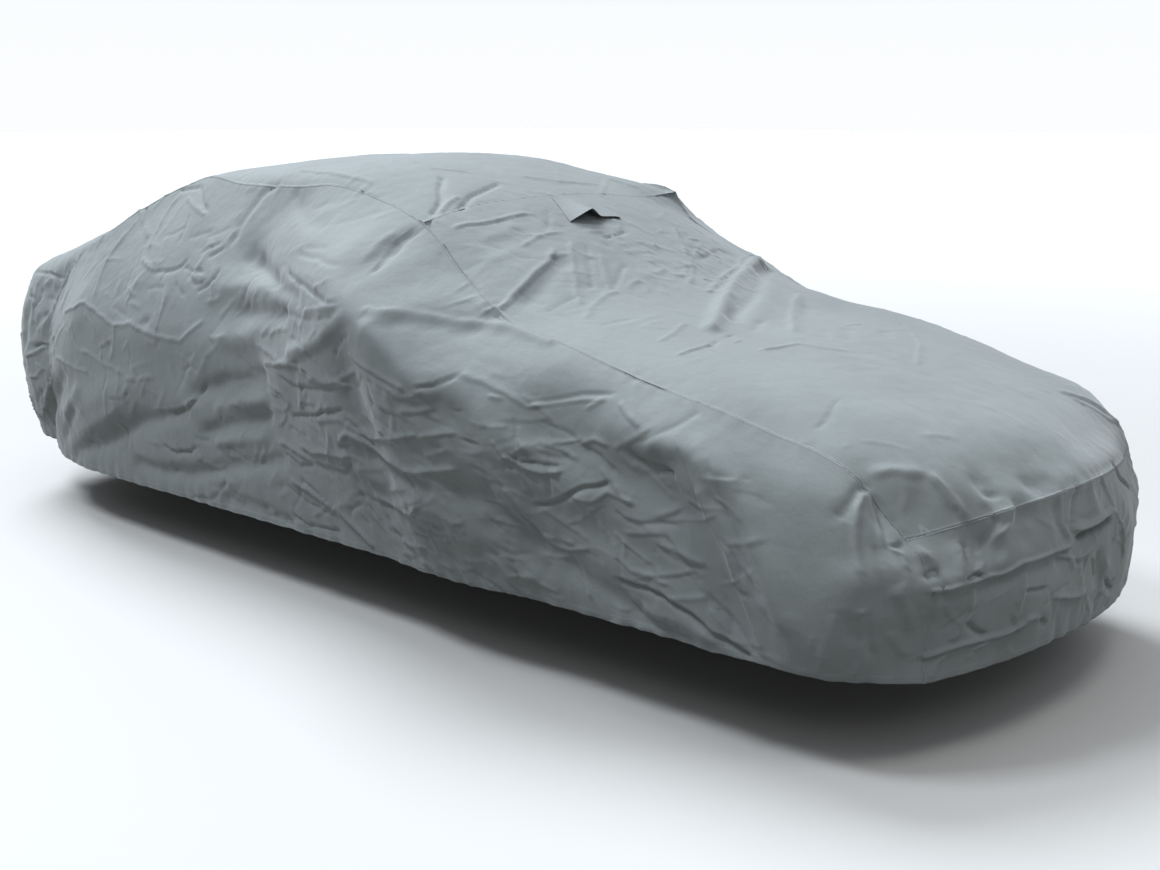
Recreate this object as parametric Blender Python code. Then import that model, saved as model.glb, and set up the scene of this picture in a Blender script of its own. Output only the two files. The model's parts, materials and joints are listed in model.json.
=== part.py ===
"""Fitted car cover in its draped shape.

Seven cut pieces: a strip of four panels runs over the middle from tail to nose, a side panel
hangs on either hand, and a vent flap is sewn to the bonnet panel's top.  Every panel is a closed
shell of cloth with its hem turned up into it.

Sizes are worked out in metres from a point on the ground below the bonnet panel, nose towards +X,
and are then moved so that the origin is the middle of the roof panel's underside, where the cover
is held up.
"""
import math
from collections import namedtuple

import bpy
import numpy as np
from mathutils import Vector
from mathutils.bvhtree import BVHTree

# ---------------------------------------------------------------- driving sizes
CLOTH = 0.002              # thickness of the cloth
SEAM_GAP = 0.0003          # space between two panels along their seam
SEAM_OPEN = 3.0            # how much wider that space is on the inner skin, so that turns stay clear
CROWN_POWER = 2.0          # how squarely a row turns down towards its seams

DROP_ROWS = 15             # rows of faces from the top edge down to the hem
ACROSS = 16                # rows of faces across the strip, seam to seam
BACK_ROWS = 14             # rows of faces along the back panel's top
ROOF_ROWS = 17             # rows of faces along the roof panel
BONNET_ROWS = 29           # rows of faces along the bonnet panel
TOP_ROWS = BACK_ROWS + ROOF_ROWS + BONNET_ROWS
HOLD_ROW = 22              # the row over the roof's middle, whose underside is the origin
FINE_STEPS = 160           # steps in which a curve is measured before it is divided evenly

# The vent flap, sewn down along the bonnet panel's top seam and both its own sides.
FLAP_TOP_X = -1.078
FLAP_LIP_X = -0.925
FLAP_TOP_Y = (-0.045, 0.130)
FLAP_LIP_Y = (-0.120, 0.135)
FLAP_ARCH = ((0.0, 0.08, 0.36, 0.58, 0.94, 1.0),             # share of the lip's width
             (0.0, 0.010, 0.045, 0.009, 0.005, 0.0))         # how far it stands open there
FLAP_RISE = 1.6            # how late the flap lifts on its way down to the lip
FLAP_CLEAR = 0.0006        # space left under its sewn edges
FLAP_ROWS = 8
FLAP_COLUMNS = 14
ABOVE = 3.0                # a height above everything, to look down from

CLOTH_COLOUR = (0.36, 0.39, 0.41, 1.0)
CLOTH_ROUGHNESS = 0.9
SHARP_EDGE = 50.0          # degrees

# ---------------------------------------------------------------- sections of the drape
# One row for each section, tail first.  crown is (x, z) on the middle line, and turn says how
# the row leaves it: 1 is a low arch, less is a rounder corner.  seam, shoulder, belly and hem
# are (x, half width, z) down the side panel.
Section = namedtuple("Section", "name row crown turn seam shoulder belly hem")

SECTIONS = (
    Section("tail corner", 0, (-3.80, 0.962), 0.30,
            (-3.23, 0.70, 0.905), (-3.23, 0.77, 0.720), (-3.19, 0.80, 0.500), (-3.30, 0.745, 0.245)),
    Section("rear deck", 3, (-3.50, 1.062), 0.50,
            (-3.11, 0.66, 1.035), (-3.09, 0.795, 0.780), (-3.07, 0.840, 0.520), (-3.10, 0.825, 0.225)),
    Section("rear deck's front", 6, (-3.14, 1.145), 0.60,
            (-2.95, 0.62, 1.130), (-2.92, 0.81, 0.850), (-2.90, 0.860, 0.560), (-2.90, 0.855, 0.215)),
    Section("rear slope", 10, (-2.86, 1.246), 0.70,
            (-2.80, 0.56, 1.226), (-2.76, 0.80, 0.900), (-2.72, 0.870, 0.580), (-2.70, 0.860, 0.217)),
    Section("roof's rear edge", 14, (-2.50, 1.375), 0.70,
            (-2.48, 0.48, 1.347), (-2.44, 0.80, 0.950), (-2.42, 0.872, 0.600), (-2.42, 0.862, 0.220)),
    Section("roof's rear half", 18, (-2.15, 1.426), 0.50,
            (-2.16, 0.525, 1.336), (-2.12, 0.81, 0.950), (-2.10, 0.872, 0.600), (-2.10, 0.862, 0.225)),
    Section("roof's middle", 22, (-1.82, 1.439), 0.44,
            (-1.82, 0.55, 1.340), (-1.78, 0.81, 0.950), (-1.78, 0.872, 0.600), (-1.78, 0.862, 0.229)),
    Section("roof's front half", 27, (-1.46, 1.428), 0.44,
            (-1.48, 0.575, 1.346), (-1.44, 0.82, 0.950), (-1.44, 0.872, 0.600), (-1.44, 0.862, 0.234)),
    Section("roof's front seam", 31, (-1.10, 1.316), 0.80,
            (-1.097, 0.60, 1.256), (-1.10, 0.82, 0.950), (-1.10, 0.872, 0.600), (-1.10, 0.862, 0.239)),
    Section("front slope", 35, (-0.84, 1.200), 0.60,
            (-0.87, 0.65, 1.120), (-0.87, 0.82, 0.930), (-0.86, 0.872, 0.600), (-0.86, 0.862, 0.243)),
    Section("front slope's foot", 39, (-0.52, 1.055), 0.60,
            (-0.64, 0.71, 1.003), (-0.63, 0.835, 0.880), (-0.60, 0.872, 0.600), (-0.60, 0.860, 0.247)),
    Section("bonnet's rear", 43, (-0.22, 0.985), 0.60,
            (-0.38, 0.735, 0.955), (-0.36, 0.840, 0.850), (-0.34, 0.870, 0.600), (-0.34, 0.857, 0.252)),
    Section("bonnet's middle", 49, (0.12, 0.930), 0.70,
            (-0.05, 0.74, 0.890), (-0.02, 0.835, 0.790), (0.00, 0.868, 0.580), (0.00, 0.850, 0.257)),
    Section("bonnet's front", 54, (0.43, 0.858), 0.80,
            (0.26, 0.70, 0.818), (0.28, 0.805, 0.720), (0.30, 0.855, 0.540), (0.30, 0.845, 0.258)),
    Section("nose's turn", 58, (0.70, 0.752), 0.90,
            (0.525, 0.648, 0.712), (0.60, 0.735, 0.600), (0.62, 0.785, 0.430), (0.59, 0.775, 0.250)),
    Section("nose corner", 60, (0.825, 0.640), 1.00,
            (0.633, 0.62, 0.582), (0.715, 0.62, 0.470), (0.712, 0.620, 0.350), (0.708, 0.620, 0.230)),
)

# The middle line below the top edge, at the tail and at the nose: (x, z) at each level.
End = namedtuple("End", "name turn shoulder belly hem")
TAIL = End("tail", 0.30, (-3.86, 0.78), (-3.84, 0.53), (-3.69, 0.240))
NOSE = End("nose", 1.00, (0.860, 0.53), (0.860, 0.39), (0.845, 0.250))

# ---------------------------------------------------------------- folds of the drape
# A tent stands out on each side panel, drop metres down from its top seam.  push is along Y, and
# fore, aft and down are how far the tent reaches that way.  It always runs up to the seam.
Tent = namedtuple("Tent", "x drop push fore aft down")
TENTS = (
    Tent(-0.98, 0.200, -0.235, 0.74, 0.84, 0.80),
    Tent(-1.00, 0.205, 0.225, 0.76, 0.76, 0.72),
)

TENT_TIP = 0.08            # how round the tip of a tent is, as a share of its reach
TENT_FALL = 1.25           # 1 is a straight-sided tent, more is a hollow one
FOLD_TAPER = 0.30          # share of a fold's length over which it rises
FOLD_END = 0.15            # share of a fold's height left at its ends

FACE_START = 0.15          # a face's folds begin where the cloth turns this much towards it
FACE_SPAN = 0.35           # and have their full height where it turns this much further

# One row for each main fold: the face it lies on, its half width and height (less than nothing
# is a trough), and the line it follows.  A line is (x, z) on a side, (x, y) on top and (y, z)
# on the nose or the tail.  The right side is the one at -Y.
Fold = namedtuple("Fold", "face width height line")
FOLDS = (
    # ridges and troughs that run out of the right tent
    Fold("right", 0.052, 0.022, ((-0.96, 1.055), (-0.80, 1.035), (-0.62, 0.990), (-0.36, 0.930),
         (-0.12, 0.885))),
    Fold("right", 0.060, -0.020, ((-0.88, 0.960), (-0.66, 0.925), (-0.40, 0.860))),
    Fold("right", 0.052, 0.020, ((-0.95, 1.000), (-0.74, 0.880), (-0.52, 0.800))),
    Fold("right", 0.080, -0.045, ((-0.99, 0.960), (-1.00, 0.800), (-0.96, 0.600), (-0.88, 0.400))),
    Fold("right", 0.052, 0.024, ((-1.02, 1.020), (-1.18, 0.930), (-1.44, 0.790), (-1.60, 0.730))),
    Fold("right", 0.052, 0.018, ((-1.03, 1.050), (-1.26, 1.020), (-1.52, 0.975))),
    Fold("right", 0.052, -0.012, ((-1.10, 1.010), (-1.34, 0.965), (-1.52, 0.920))),
    Fold("right", 0.052, 0.016, ((-1.03, 1.080), (-1.28, 1.090), (-1.56, 1.130))),
    Fold("right", 0.052, 0.024, ((-1.12, 1.265), (-1.17, 1.200), (-1.20, 1.130))),
    Fold("right", 0.052, -0.016, ((-1.07, 1.225), (-1.11, 1.170), (-1.13, 1.110))),
    # folds that sag behind the tent
    Fold("right", 0.055, -0.030, ((-1.98, 1.130), (-1.84, 1.090), (-1.68, 1.050))),
    Fold("right", 0.052, 0.016, ((-2.05, 1.010), (-1.85, 1.000), (-1.62, 1.000))),
    Fold("right", 0.052, -0.028, ((-2.02, 0.910), (-1.85, 0.920), (-1.66, 0.930))),
    Fold("right", 0.052, 0.018, ((-2.10, 0.800), (-1.88, 0.830), (-1.64, 0.870))),
    Fold("right", 0.052, -0.024, ((-1.98, 0.720), (-1.80, 0.755), (-1.58, 0.830))),
    Fold("right", 0.052, 0.018, ((-2.06, 0.640), (-1.82, 0.700), (-1.56, 0.770))),
    Fold("right", 0.055, -0.026, ((-2.04, 0.560), (-1.78, 0.640), (-1.50, 0.720))),
    Fold("right", 0.052, -0.022, ((-2.02, 0.420), (-1.72, 0.530), (-1.46, 0.620))),
    Fold("right", 0.052, 0.015, ((-2.02, 0.490), (-1.74, 0.580), (-1.48, 0.660))),
    # the rear quarter
    Fold("right", 0.052, 0.016, ((-3.03, 0.800), (-2.82, 0.860), (-2.58, 0.810), (-2.29, 0.800),
         (-2.04, 0.820))),
    Fold("right", 0.052, -0.020, ((-2.80, 0.330), (-2.50, 0.420), (-2.20, 0.560))),
    Fold("right", 0.052, 0.016, ((-2.96, 0.420), (-2.66, 0.500), (-2.36, 0.640))),
    Fold("right", 0.052, -0.016, ((-3.14, 0.560), (-3.08, 0.400), (-3.02, 0.260))),
    Fold("right", 0.052, 0.014, ((-2.47, 1.330), (-2.41, 1.270), (-2.28, 1.180))),
    # long folds that run down to the hem, and the round hollow near the front
    Fold("right", 0.055, 0.018, ((-1.27, 0.700), (-0.84, 0.520), (-0.43, 0.370), (-0.10, 0.290))),
    Fold("right", 0.055, -0.016, ((-1.10, 0.700), (-0.70, 0.570), (-0.30, 0.440), (0.05, 0.320))),
    Fold("right", 0.052, 0.020, ((-0.93, 0.660), (-0.50, 0.520), (-0.02, 0.400), (0.32, 0.290))),
    Fold("right", 0.060, 0.024, ((-0.20, 0.780), (0.04, 0.770), (0.22, 0.680), (0.33, 0.540),
         (0.42, 0.400), (0.52, 0.280))),
    Fold("right", 0.060, -0.034, ((-0.08, 0.690), (0.08, 0.660), (0.20, 0.560), (0.27, 0.420),
         (0.38, 0.300))),
    Fold("right", 0.052, 0.012, ((-0.40, 0.720), (-0.22, 0.660), (-0.06, 0.600), (0.08, 0.500))),
    Fold("right", 0.052, -0.012, ((0.545, 0.690), (0.580, 0.600), (0.600, 0.520))),
    Fold("right", 0.070, 0.022, ((0.640, 0.520), (0.640, 0.460))),
    Fold("right", 0.052, -0.012, ((0.660, 0.420), (0.670, 0.260))),
    # the left side hangs alike, and not the same
    Fold("left", 0.052, 0.024, ((-0.98, 1.045), (-0.78, 1.020), (-0.56, 0.970), (-0.28, 0.900))),
    Fold("left", 0.052, 0.022, ((-0.97, 0.990), (-0.80, 0.860), (-0.62, 0.720))),
    Fold("left", 0.080, -0.040, ((-1.01, 0.940), (-1.05, 0.780), (-1.08, 0.560), (-1.16, 0.380))),
    Fold("left", 0.052, 0.022, ((-1.05, 1.000), (-1.24, 0.900), (-1.52, 0.800))),
    Fold("left", 0.052, 0.018, ((-1.05, 1.060), (-1.34, 1.060), (-1.62, 1.090))),
    Fold("left", 0.052, 0.020, ((-1.10, 1.270), (-1.18, 1.190), (-1.24, 1.100))),
    Fold("left", 0.055, -0.026, ((-2.30, 1.020), (-2.05, 0.970), (-1.78, 0.960))),
    Fold("left", 0.052, 0.018, ((-2.28, 0.880), (-2.02, 0.870), (-1.70, 0.900))),
    Fold("left", 0.052, -0.022, ((-2.22, 0.760), (-1.92, 0.780), (-1.62, 0.840))),
    Fold("left", 0.055, -0.022, ((-2.10, 0.520), (-1.82, 0.590), (-1.52, 0.700))),
    Fold("left", 0.052, 0.018, ((-1.98, 0.400), (-1.66, 0.500), (-1.34, 0.620))),
    Fold("left", 0.052, 0.018, ((-3.02, 0.700), (-2.74, 0.760), (-2.46, 0.720), (-2.20, 0.740))),
    Fold("left", 0.052, -0.020, ((-2.94, 0.520), (-2.66, 0.440), (-2.40, 0.300))),
    Fold("left", 0.055, 0.020, ((-1.20, 0.640), (-0.80, 0.500), (-0.36, 0.340))),
    Fold("left", 0.055, -0.018, ((-0.86, 0.640), (-0.46, 0.500), (-0.06, 0.330))),
    Fold("left", 0.060, 0.022, ((-0.22, 0.760), (0.04, 0.740), (0.22, 0.640), (0.32, 0.500),
         (0.40, 0.320))),
    Fold("left", 0.060, -0.030, ((-0.10, 0.660), (0.08, 0.620), (0.18, 0.500), (0.26, 0.330))),
    Fold("left", 0.070, 0.020, ((0.640, 0.500), (0.650, 0.430))),
    # the left side stands out fuller before the tent and at the nose corner
    Fold("left", 0.080, 0.030, ((-1.26, 1.320), (-1.14, 1.270), (-1.06, 1.200))),
    Fold("left", 0.080, -0.020, ((-0.60, 1.000), (-0.42, 0.960), (-0.24, 0.930))),
    Fold("left", 0.130, 0.026, ((0.44, 0.740), (0.60, 0.640), (0.66, 0.560))),
    Fold("top", 0.090, 0.024, ((-1.34, 0.520), (-1.18, 0.570), (-1.06, 0.610))),
    Fold("top", 0.090, -0.020, ((-0.60, 0.660), (-0.42, 0.680), (-0.24, 0.660))),
    Fold("top", 0.120, 0.022, ((0.42, 0.660), (0.60, 0.600), (0.72, 0.500))),
    # the bonnet panel, the roof and the back panel's top
    Fold("top", 0.052, 0.014, ((-0.67, -0.690), (-0.73, -0.520), (-0.79, -0.330))),
    Fold("top", 0.055, 0.034, ((-0.60, 0.540), (-0.50, 0.400), (-0.38, 0.200), (-0.22, -0.080))),
    Fold("top", 0.052, -0.020, ((-0.78, 0.560), (-0.62, 0.360), (-0.50, 0.160))),
    Fold("top", 0.052, 0.016, ((-0.46, 0.600), (-0.34, 0.440), (-0.24, 0.280))),
    Fold("top", 0.052, 0.010, ((0.30, -0.560), (0.44, -0.420), (0.56, -0.300))),
    Fold("top", 0.060, -0.012, ((0.60, -0.420), (0.70, -0.300), (0.76, -0.100))),
    Fold("top", 0.052, 0.012, ((-1.15, -0.480), (-1.22, -0.310), (-1.30, -0.120))),
    Fold("top", 0.052, 0.012, ((-1.06, 0.560), (-1.20, 0.520), (-1.42, 0.480))),
    Fold("top", 0.060, -0.010, ((-2.30, -0.300), (-1.90, -0.240), (-1.50, -0.280))),
    Fold("top", 0.060, 0.012, ((-2.62, -0.420), (-2.84, -0.300), (-3.04, -0.060))),
    Fold("top", 0.060, -0.014, ((-2.60, 0.380), (-2.84, 0.180), (-3.06, 0.060))),
    Fold("top", 0.060, -0.012, ((-3.30, -0.520), (-3.46, -0.200), (-3.50, 0.240))),
    # the nose and the tail
    Fold("nose", 0.060, 0.020, ((-0.560, 0.500), (-0.520, 0.440))),
    Fold("nose", 0.052, -0.012, ((-0.620, 0.440), (-0.615, 0.240))),
    Fold("nose", 0.052, 0.012, ((-0.420, 0.560), (-0.300, 0.420), (-0.260, 0.280))),
    Fold("nose", 0.052, -0.010, ((-0.180, 0.560), (-0.060, 0.430), (0.020, 0.280))),
    Fold("nose", 0.052, 0.012, ((0.180, 0.560), (0.260, 0.430), (0.240, 0.290))),
    Fold("tail", 0.060, 0.016, ((-0.600, 0.820), (-0.480, 0.600), (-0.460, 0.360))),
    Fold("tail", 0.060, -0.016, ((-0.260, 0.860), (-0.160, 0.600), (-0.180, 0.300))),
    Fold("tail", 0.060, 0.016, ((0.200, 0.840), (0.120, 0.580), (0.160, 0.300))),
    Fold("tail", 0.060, -0.014, ((0.540, 0.820), (0.420, 0.560), (0.440, 0.320))),
)

# ---------------------------------------------------------------- smooth lines
def eased(share):
    """A share from 0 to 1, made slow at both its ends."""
    return share * share * (3.0 - 2.0 * share)


def through(knots, values, at):
    """Values along a smooth line through the knots (a cubic whose slopes never overshoot)."""
    knots = np.asarray(knots, float)
    values = np.asarray(values, float)
    steps = np.diff(knots)
    slopes = np.diff(values, axis=0) / steps[:, None]
    tangents = np.empty_like(values)
    tangents[0], tangents[-1] = slopes[0], slopes[-1]
    before, after = steps[:-1, None], steps[1:, None]
    tangents[1:-1] = (slopes[:-1] * after + slopes[1:] * before) / (before + after)
    at = np.atleast_1d(np.asarray(at, float))
    span = np.clip(np.searchsorted(knots, at, side="right") - 1, 0, len(steps) - 1)
    width = steps[span]
    t = ((at - knots[span]) / width)[:, None]
    width = width[:, None]
    rise = eased(t)
    return (values[span] * (1.0 - rise) + values[span + 1] * rise
            + width * tangents[span] * t * (1.0 - t) ** 2
            - width * tangents[span + 1] * t * t * (1.0 - t))


def runs_along(line):
    """How far along the line each of its points lies."""
    return np.concatenate([[0.0], np.cumsum(np.linalg.norm(np.diff(line, axis=0), axis=1))])


def evenly(line, count):
    """The line's points again, at count + 1 even steps of its length."""
    run = runs_along(line)
    steps = np.linspace(0.0, run[-1], count + 1)
    return np.stack([np.interp(steps, run, line[:, k]) for k in range(3)], axis=1)


def distance_along(line, points):
    """Distance of each point from a line of two or more corners, and how far along it lies."""
    line = np.asarray(line, float)
    runs = runs_along(line)
    lengths = np.diff(runs)
    nearest = np.full(len(points), np.inf)
    along = np.zeros(len(points))
    for start, end, length, run in zip(line[:-1], line[1:], lengths, runs):
        heading = (end - start) / length
        reach = np.clip((points - start) @ heading, 0.0, length)
        gap = np.linalg.norm(points - start - reach[:, None] * heading, axis=1)
        closer = gap < nearest
        nearest[closer] = gap[closer]
        along[closer] = (run + reach[closer]) / runs[-1]
    return nearest, along


# ---------------------------------------------------------------- the smooth drape
LEVELS = (0.0, 0.36, 0.68, 1.0)      # seam, shoulder, belly and hem, as shares of the drop


def side_grid():
    """Points of the left side panel, (TOP_ROWS + 1) by (DROP_ROWS + 1), before any fold."""
    rows = [section.row for section in SECTIONS]
    wanted = np.arange(TOP_ROWS + 1)
    drop = np.linspace(0.0, 1.0, FINE_STEPS + 1)
    levels = [through(rows, [getattr(section, name) for section in SECTIONS], wanted)
              for name in ("seam", "shoulder", "belly", "hem")]
    grid = np.empty((TOP_ROWS + 1, DROP_ROWS + 1, 3))
    for row in wanted:
        line = through(LEVELS, [level[row] for level in levels], drop)
        grid[row] = evenly(line, DROP_ROWS)
    return grid


def arch(centre, seam, turn):
    """One row of the strip, from the middle line out to its left seam, evenly spaced."""
    share = np.linspace(0.0, 1.0, FINE_STEPS + 1)
    rise = (1.0 - share ** CROWN_POWER) ** turn
    line = np.stack([seam[0] + (centre[0] - seam[0]) * rise,
                     seam[1] * share,
                     seam[2] + (centre[1] - seam[2]) * rise], axis=1)
    return evenly(line, ACROSS // 2)


def strip_grid(side):
    """Points of half the strip, from the tail's hem over the top to the nose's hem."""
    rows = [section.row for section in SECTIONS]
    wanted = np.arange(TOP_ROWS + 1)
    crown = through(rows, [section.crown + (section.turn,) for section in SECTIONS], wanted)
    drop = np.linspace(0.0, 1.0, DROP_ROWS + 1)
    ends = []
    for end, top in ((TAIL, crown[0]), (NOSE, crown[-1])):
        line = through(LEVELS, [tuple(top[:2]), end.shoulder, end.belly, end.hem],
                       np.linspace(0.0, 1.0, FINE_STEPS + 1))
        line = evenly(np.column_stack([line, np.zeros(len(line))]), DROP_ROWS)
        ends.append([(line[k, 0], line[k, 1], top[2] + (end.turn - top[2]) * drop[k])
                     for k in range(DROP_ROWS + 1)])
    centres = ends[0][:0:-1] + [tuple(row) for row in crown] + ends[1][1:]
    seams = (list(side[0, :0:-1]) + list(side[:, 0]) + list(side[-1, 1:]))
    return np.array([arch(c[:2], s, c[2]) for c, s in zip(centres, seams)])


# ---------------------------------------------------------------- one welded surface
class Drape:
    """All the panels as one grid of shared points, with its faces kept by panel."""

    def __init__(self):
        self.points = []
        self.drops = []        # how far down its side panel each point lies, 0 on the strip
        self.index = {}
        self.faces = {}

    def point(self, key, place, drop=0.0):
        if key not in self.index:
            self.index[key] = len(self.points)
            self.points.append(place)
            self.drops.append(drop)
        return self.index[key]

    def sheet(self, name, corners):
        """Four-sided faces between the points of a grid of point numbers."""
        faces = self.faces.setdefault(name, [])
        for first, second in zip(corners[:-1], corners[1:]):
            for k in range(len(first) - 1):
                faces.append((first[k], second[k], second[k + 1], first[k + 1]))


def smooth_drape():
    """The cover with its darts and curves, and no folds yet."""
    side = side_grid()
    half = strip_grid(side)
    drape = Drape()
    strip = []
    for row, line in enumerate(half):
        right = [drape.point(("strip", row, -k), line[k] * (1.0, -1.0, 1.0))
                 for k in range(ACROSS // 2, 0, -1)]
        left = [drape.point(("strip", row, k), line[k]) for k in range(ACROSS // 2 + 1)]
        strip.append(right + left)
    roof_row = DROP_ROWS + BACK_ROWS
    bonnet_row = roof_row + ROOF_ROWS
    nose_row = bonnet_row + BONNET_ROWS
    drape.sheet("back_panel", strip[:roof_row + 1])
    drape.sheet("roof_panel", strip[roof_row:bonnet_row + 1])
    drape.sheet("bonnet_panel", strip[bonnet_row:nose_row + 1])
    drape.sheet("nose_panel", strip[nose_row:])
    drops = [runs_along(line) for line in side]
    for name, hand, edge in (("side_panel_right", -1.0, 0), ("side_panel_left", 1.0, ACROSS)):
        grid = []
        for level in range(DROP_ROWS + 1):
            line = []
            for row in range(TOP_ROWS + 1):
                if level == 0:
                    number = strip[DROP_ROWS + row][edge]
                elif row == 0:
                    number = strip[DROP_ROWS - level][edge]
                elif row == TOP_ROWS:
                    number = strip[DROP_ROWS + TOP_ROWS + level][edge]
                else:
                    place = side[row, level] * (1.0, hand, 1.0)
                    number = drape.point((name, row, level), place, drops[row][level])
                line.append(number)
            grid.append(line if hand < 0 else line[::-1])
        drape.sheet(name, grid)
    drape.points = np.array(drape.points)
    drape.drops = np.array(drape.drops)
    return drape


def outward(points, faces):
    """A direction out of the cloth at every point, from the faces around it."""
    faces = np.array(faces)
    corners = points[faces]
    across = np.cross(corners[:, 2] - corners[:, 0], corners[:, 3] - corners[:, 1])
    normals = np.zeros_like(points)
    for k in range(4):
        np.add.at(normals, faces[:, k], across)
    return normals / np.linalg.norm(normals, axis=1)[:, None]


# The axis each face of the cover looks along, and the two it is drawn in.
FACES = {
    "right": ((0, -1, 0), (0, 2)),
    "left": ((0, 1, 0), (0, 2)),
    "top": ((0, 0, 1), (0, 1)),
    "nose": ((1, 0, 0), (1, 2)),
    "tail": ((-1, 0, 0), (1, 2)),
}


def facing(normals, face):
    """How much each point belongs to a face, from 0 to 1, so that no fold ends in a step."""
    turn = normals @ np.array(FACES[face][0], float)
    return eased(np.clip((turn - FACE_START) / FACE_SPAN, 0.0, 1.0))


def tent_moves(drape):
    """How far the tents push each point of the side panels straight out."""
    moves = np.zeros_like(drape.points)
    for tent in TENTS:
        along = drape.points[:, 0] - tent.x
        along = along / np.where(along > 0.0, tent.fore, tent.aft)
        down = drape.drops - tent.drop
        down = down / np.where(down > 0.0, tent.down, tent.drop)
        spread = np.sqrt(along ** 2 + down ** 2 + TENT_TIP ** 2) - TENT_TIP
        push = tent.push * np.clip(1.0 - spread, 0.0, 1.0) ** TENT_FALL
        same_hand = drape.points[:, 1] * tent.push > 0.0
        moves[:, 1] += np.where(same_hand, push, 0.0)
    return moves


def fold_heights(points, normals):
    """How far the folds lift each point off the smooth drape."""
    lift = np.zeros(len(points))
    for fold in FOLDS:
        gap, along = distance_along(fold.line, points[:, FACES[fold.face][1]])
        ends = np.clip(np.minimum(along, 1.0 - along) / FOLD_TAPER, 0.0, 1.0)
        ends = FOLD_END + (1.0 - FOLD_END) * ends * (2.0 - ends)
        lift += fold.height * ends * np.exp(-(gap / fold.width) ** 2) * facing(normals, fold.face)
    return lift


def draped_cover():
    """The cover with its tents and folds."""
    drape = smooth_drape()
    faces = [face for sheet in drape.faces.values() for face in sheet]
    normals = outward(drape.points, faces)
    folds = normals * fold_heights(drape.points, normals)[:, None]
    drape.points = drape.points + folds + tent_moves(drape)
    drape.normals = outward(drape.points, faces)
    return drape


# ---------------------------------------------------------------- build
def seam_sides(faces):
    """The edges around a panel's outline, each running the way its face does."""
    edges = {(face[k], face[(k + 1) % 4]) for face in faces for k in range(4)}
    return [edge for edge in edges if edge[::-1] not in edges]


def seam_shifts(drape, outline, sewn):
    """Moves that draw a panel back from its seams by half the gap, square to each seam."""
    inward = {}
    for start, end in outline:
        if (end, start) not in sewn:
            continue
        run = drape.points[end] - drape.points[start]
        for corner in (start, end):
            inside = np.cross(drape.normals[corner], run)
            inward.setdefault(corner, []).append(inside / np.linalg.norm(inside))
    shifts = {}
    for corner, sides in inward.items():
        first, last = sides[0], sides[-1]
        shifts[corner] = 0.5 * SEAM_GAP * (first + last) / (1.0 + first @ last)
    return shifts


def triangles(points, face):
    """A face's two triangles, cut along its shorter diagonal."""
    a, b, c, d = face
    if np.linalg.norm(points[a] - points[c]) <= np.linalg.norm(points[b] - points[d]):
        return (a, b, c), (a, c, d)
    return (a, b, d), (b, c, d)


def shell(drape, faces, sewn):
    """Corner points and triangles of one panel, as a closed skin as thick as the cloth."""
    outline = seam_sides(faces)
    shifts = seam_shifts(drape, outline, sewn)
    used = sorted({number for face in faces for number in face})
    place = {number: k for k, number in enumerate(used)}
    drawn = np.array([shifts.get(number, np.zeros(3)) for number in used])
    outer = drape.points[used] + drawn
    inner = drape.points[used] + SEAM_OPEN * drawn - CLOTH * drape.normals[used]
    count = len(used)
    skin = []
    for face in faces:
        for a, b, c in triangles(drape.points, face):
            a, b, c = place[a], place[b], place[c]
            skin.append((a, b, c))
            skin.append((c + count, b + count, a + count))
    for start, end in outline:
        start, end = place[start], place[end]
        skin.append((end, start, start + count))
        skin.append((end, start + count, end + count))
    return np.concatenate([outer, inner]), skin


def cloth_material(name):
    material = bpy.data.materials.new(name)
    material.use_nodes = True
    shader = material.node_tree.nodes["Principled BSDF"]
    shader.inputs["Base Color"].default_value = CLOTH_COLOUR
    shader.inputs["Roughness"].default_value = CLOTH_ROUGHNESS
    shader.inputs["Metallic"].default_value = 0.0
    return material


def add_piece(name, points, skin, holder):
    mesh = bpy.data.meshes.new(name)
    mesh.from_pydata([tuple(point) for point in points], [], skin)
    mesh.update()
    mesh.shade_smooth()
    mesh.set_sharp_from_angle(angle=math.radians(SHARP_EDGE))
    piece = bpy.data.objects.new(name, mesh)
    bpy.context.scene.collection.objects.link(piece)
    piece.parent = holder
    mesh.materials.append(cloth_material(name + "_cloth"))
    return piece


# ---------------------------------------------------------------- vent flap
def flap_grid(drape):
    """Outer points of the flap: flat along its sewn edges, and open in an arch at its lip."""
    bonnet = drape.faces["bonnet_panel"]
    cut = [tri for face in bonnet for tri in triangles(drape.points, face)]
    ground = BVHTree.FromPolygons([tuple(point) for point in drape.points], cut)
    grid = []
    for down in np.linspace(0.0, 1.0, FLAP_ROWS + 1):
        line = []
        for share in np.linspace(0.0, 1.0, FLAP_COLUMNS + 1):
            near = FLAP_TOP_Y[0] + (FLAP_LIP_Y[0] - FLAP_TOP_Y[0]) * down
            far = FLAP_TOP_Y[1] + (FLAP_LIP_Y[1] - FLAP_TOP_Y[1]) * down
            x = FLAP_TOP_X + (FLAP_LIP_X - FLAP_TOP_X) * down
            y = near + (far - near) * share
            below, slope = ground.ray_cast(Vector((x, y, ABOVE)), Vector((0.0, 0.0, -1.0)))[:2]
            open_by = np.interp(share, FLAP_ARCH[0], FLAP_ARCH[1]) * down ** FLAP_RISE
            line.append(np.array(below + slope * (FLAP_CLEAR + CLOTH + open_by)))
        grid.append(line)
    return np.array(grid)


def flap_shell(drape):
    grid = flap_grid(drape)
    rows, columns = grid.shape[:2]
    faces = []
    for row in range(rows - 1):
        for column in range(columns - 1):
            first = row * columns + column
            faces.append((first, first + columns, first + columns + 1, first + 1))
    flap = Drape()
    flap.points = grid.reshape(-1, 3)
    flap.normals = outward(flap.points, faces)
    return shell(flap, faces, set())


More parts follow.
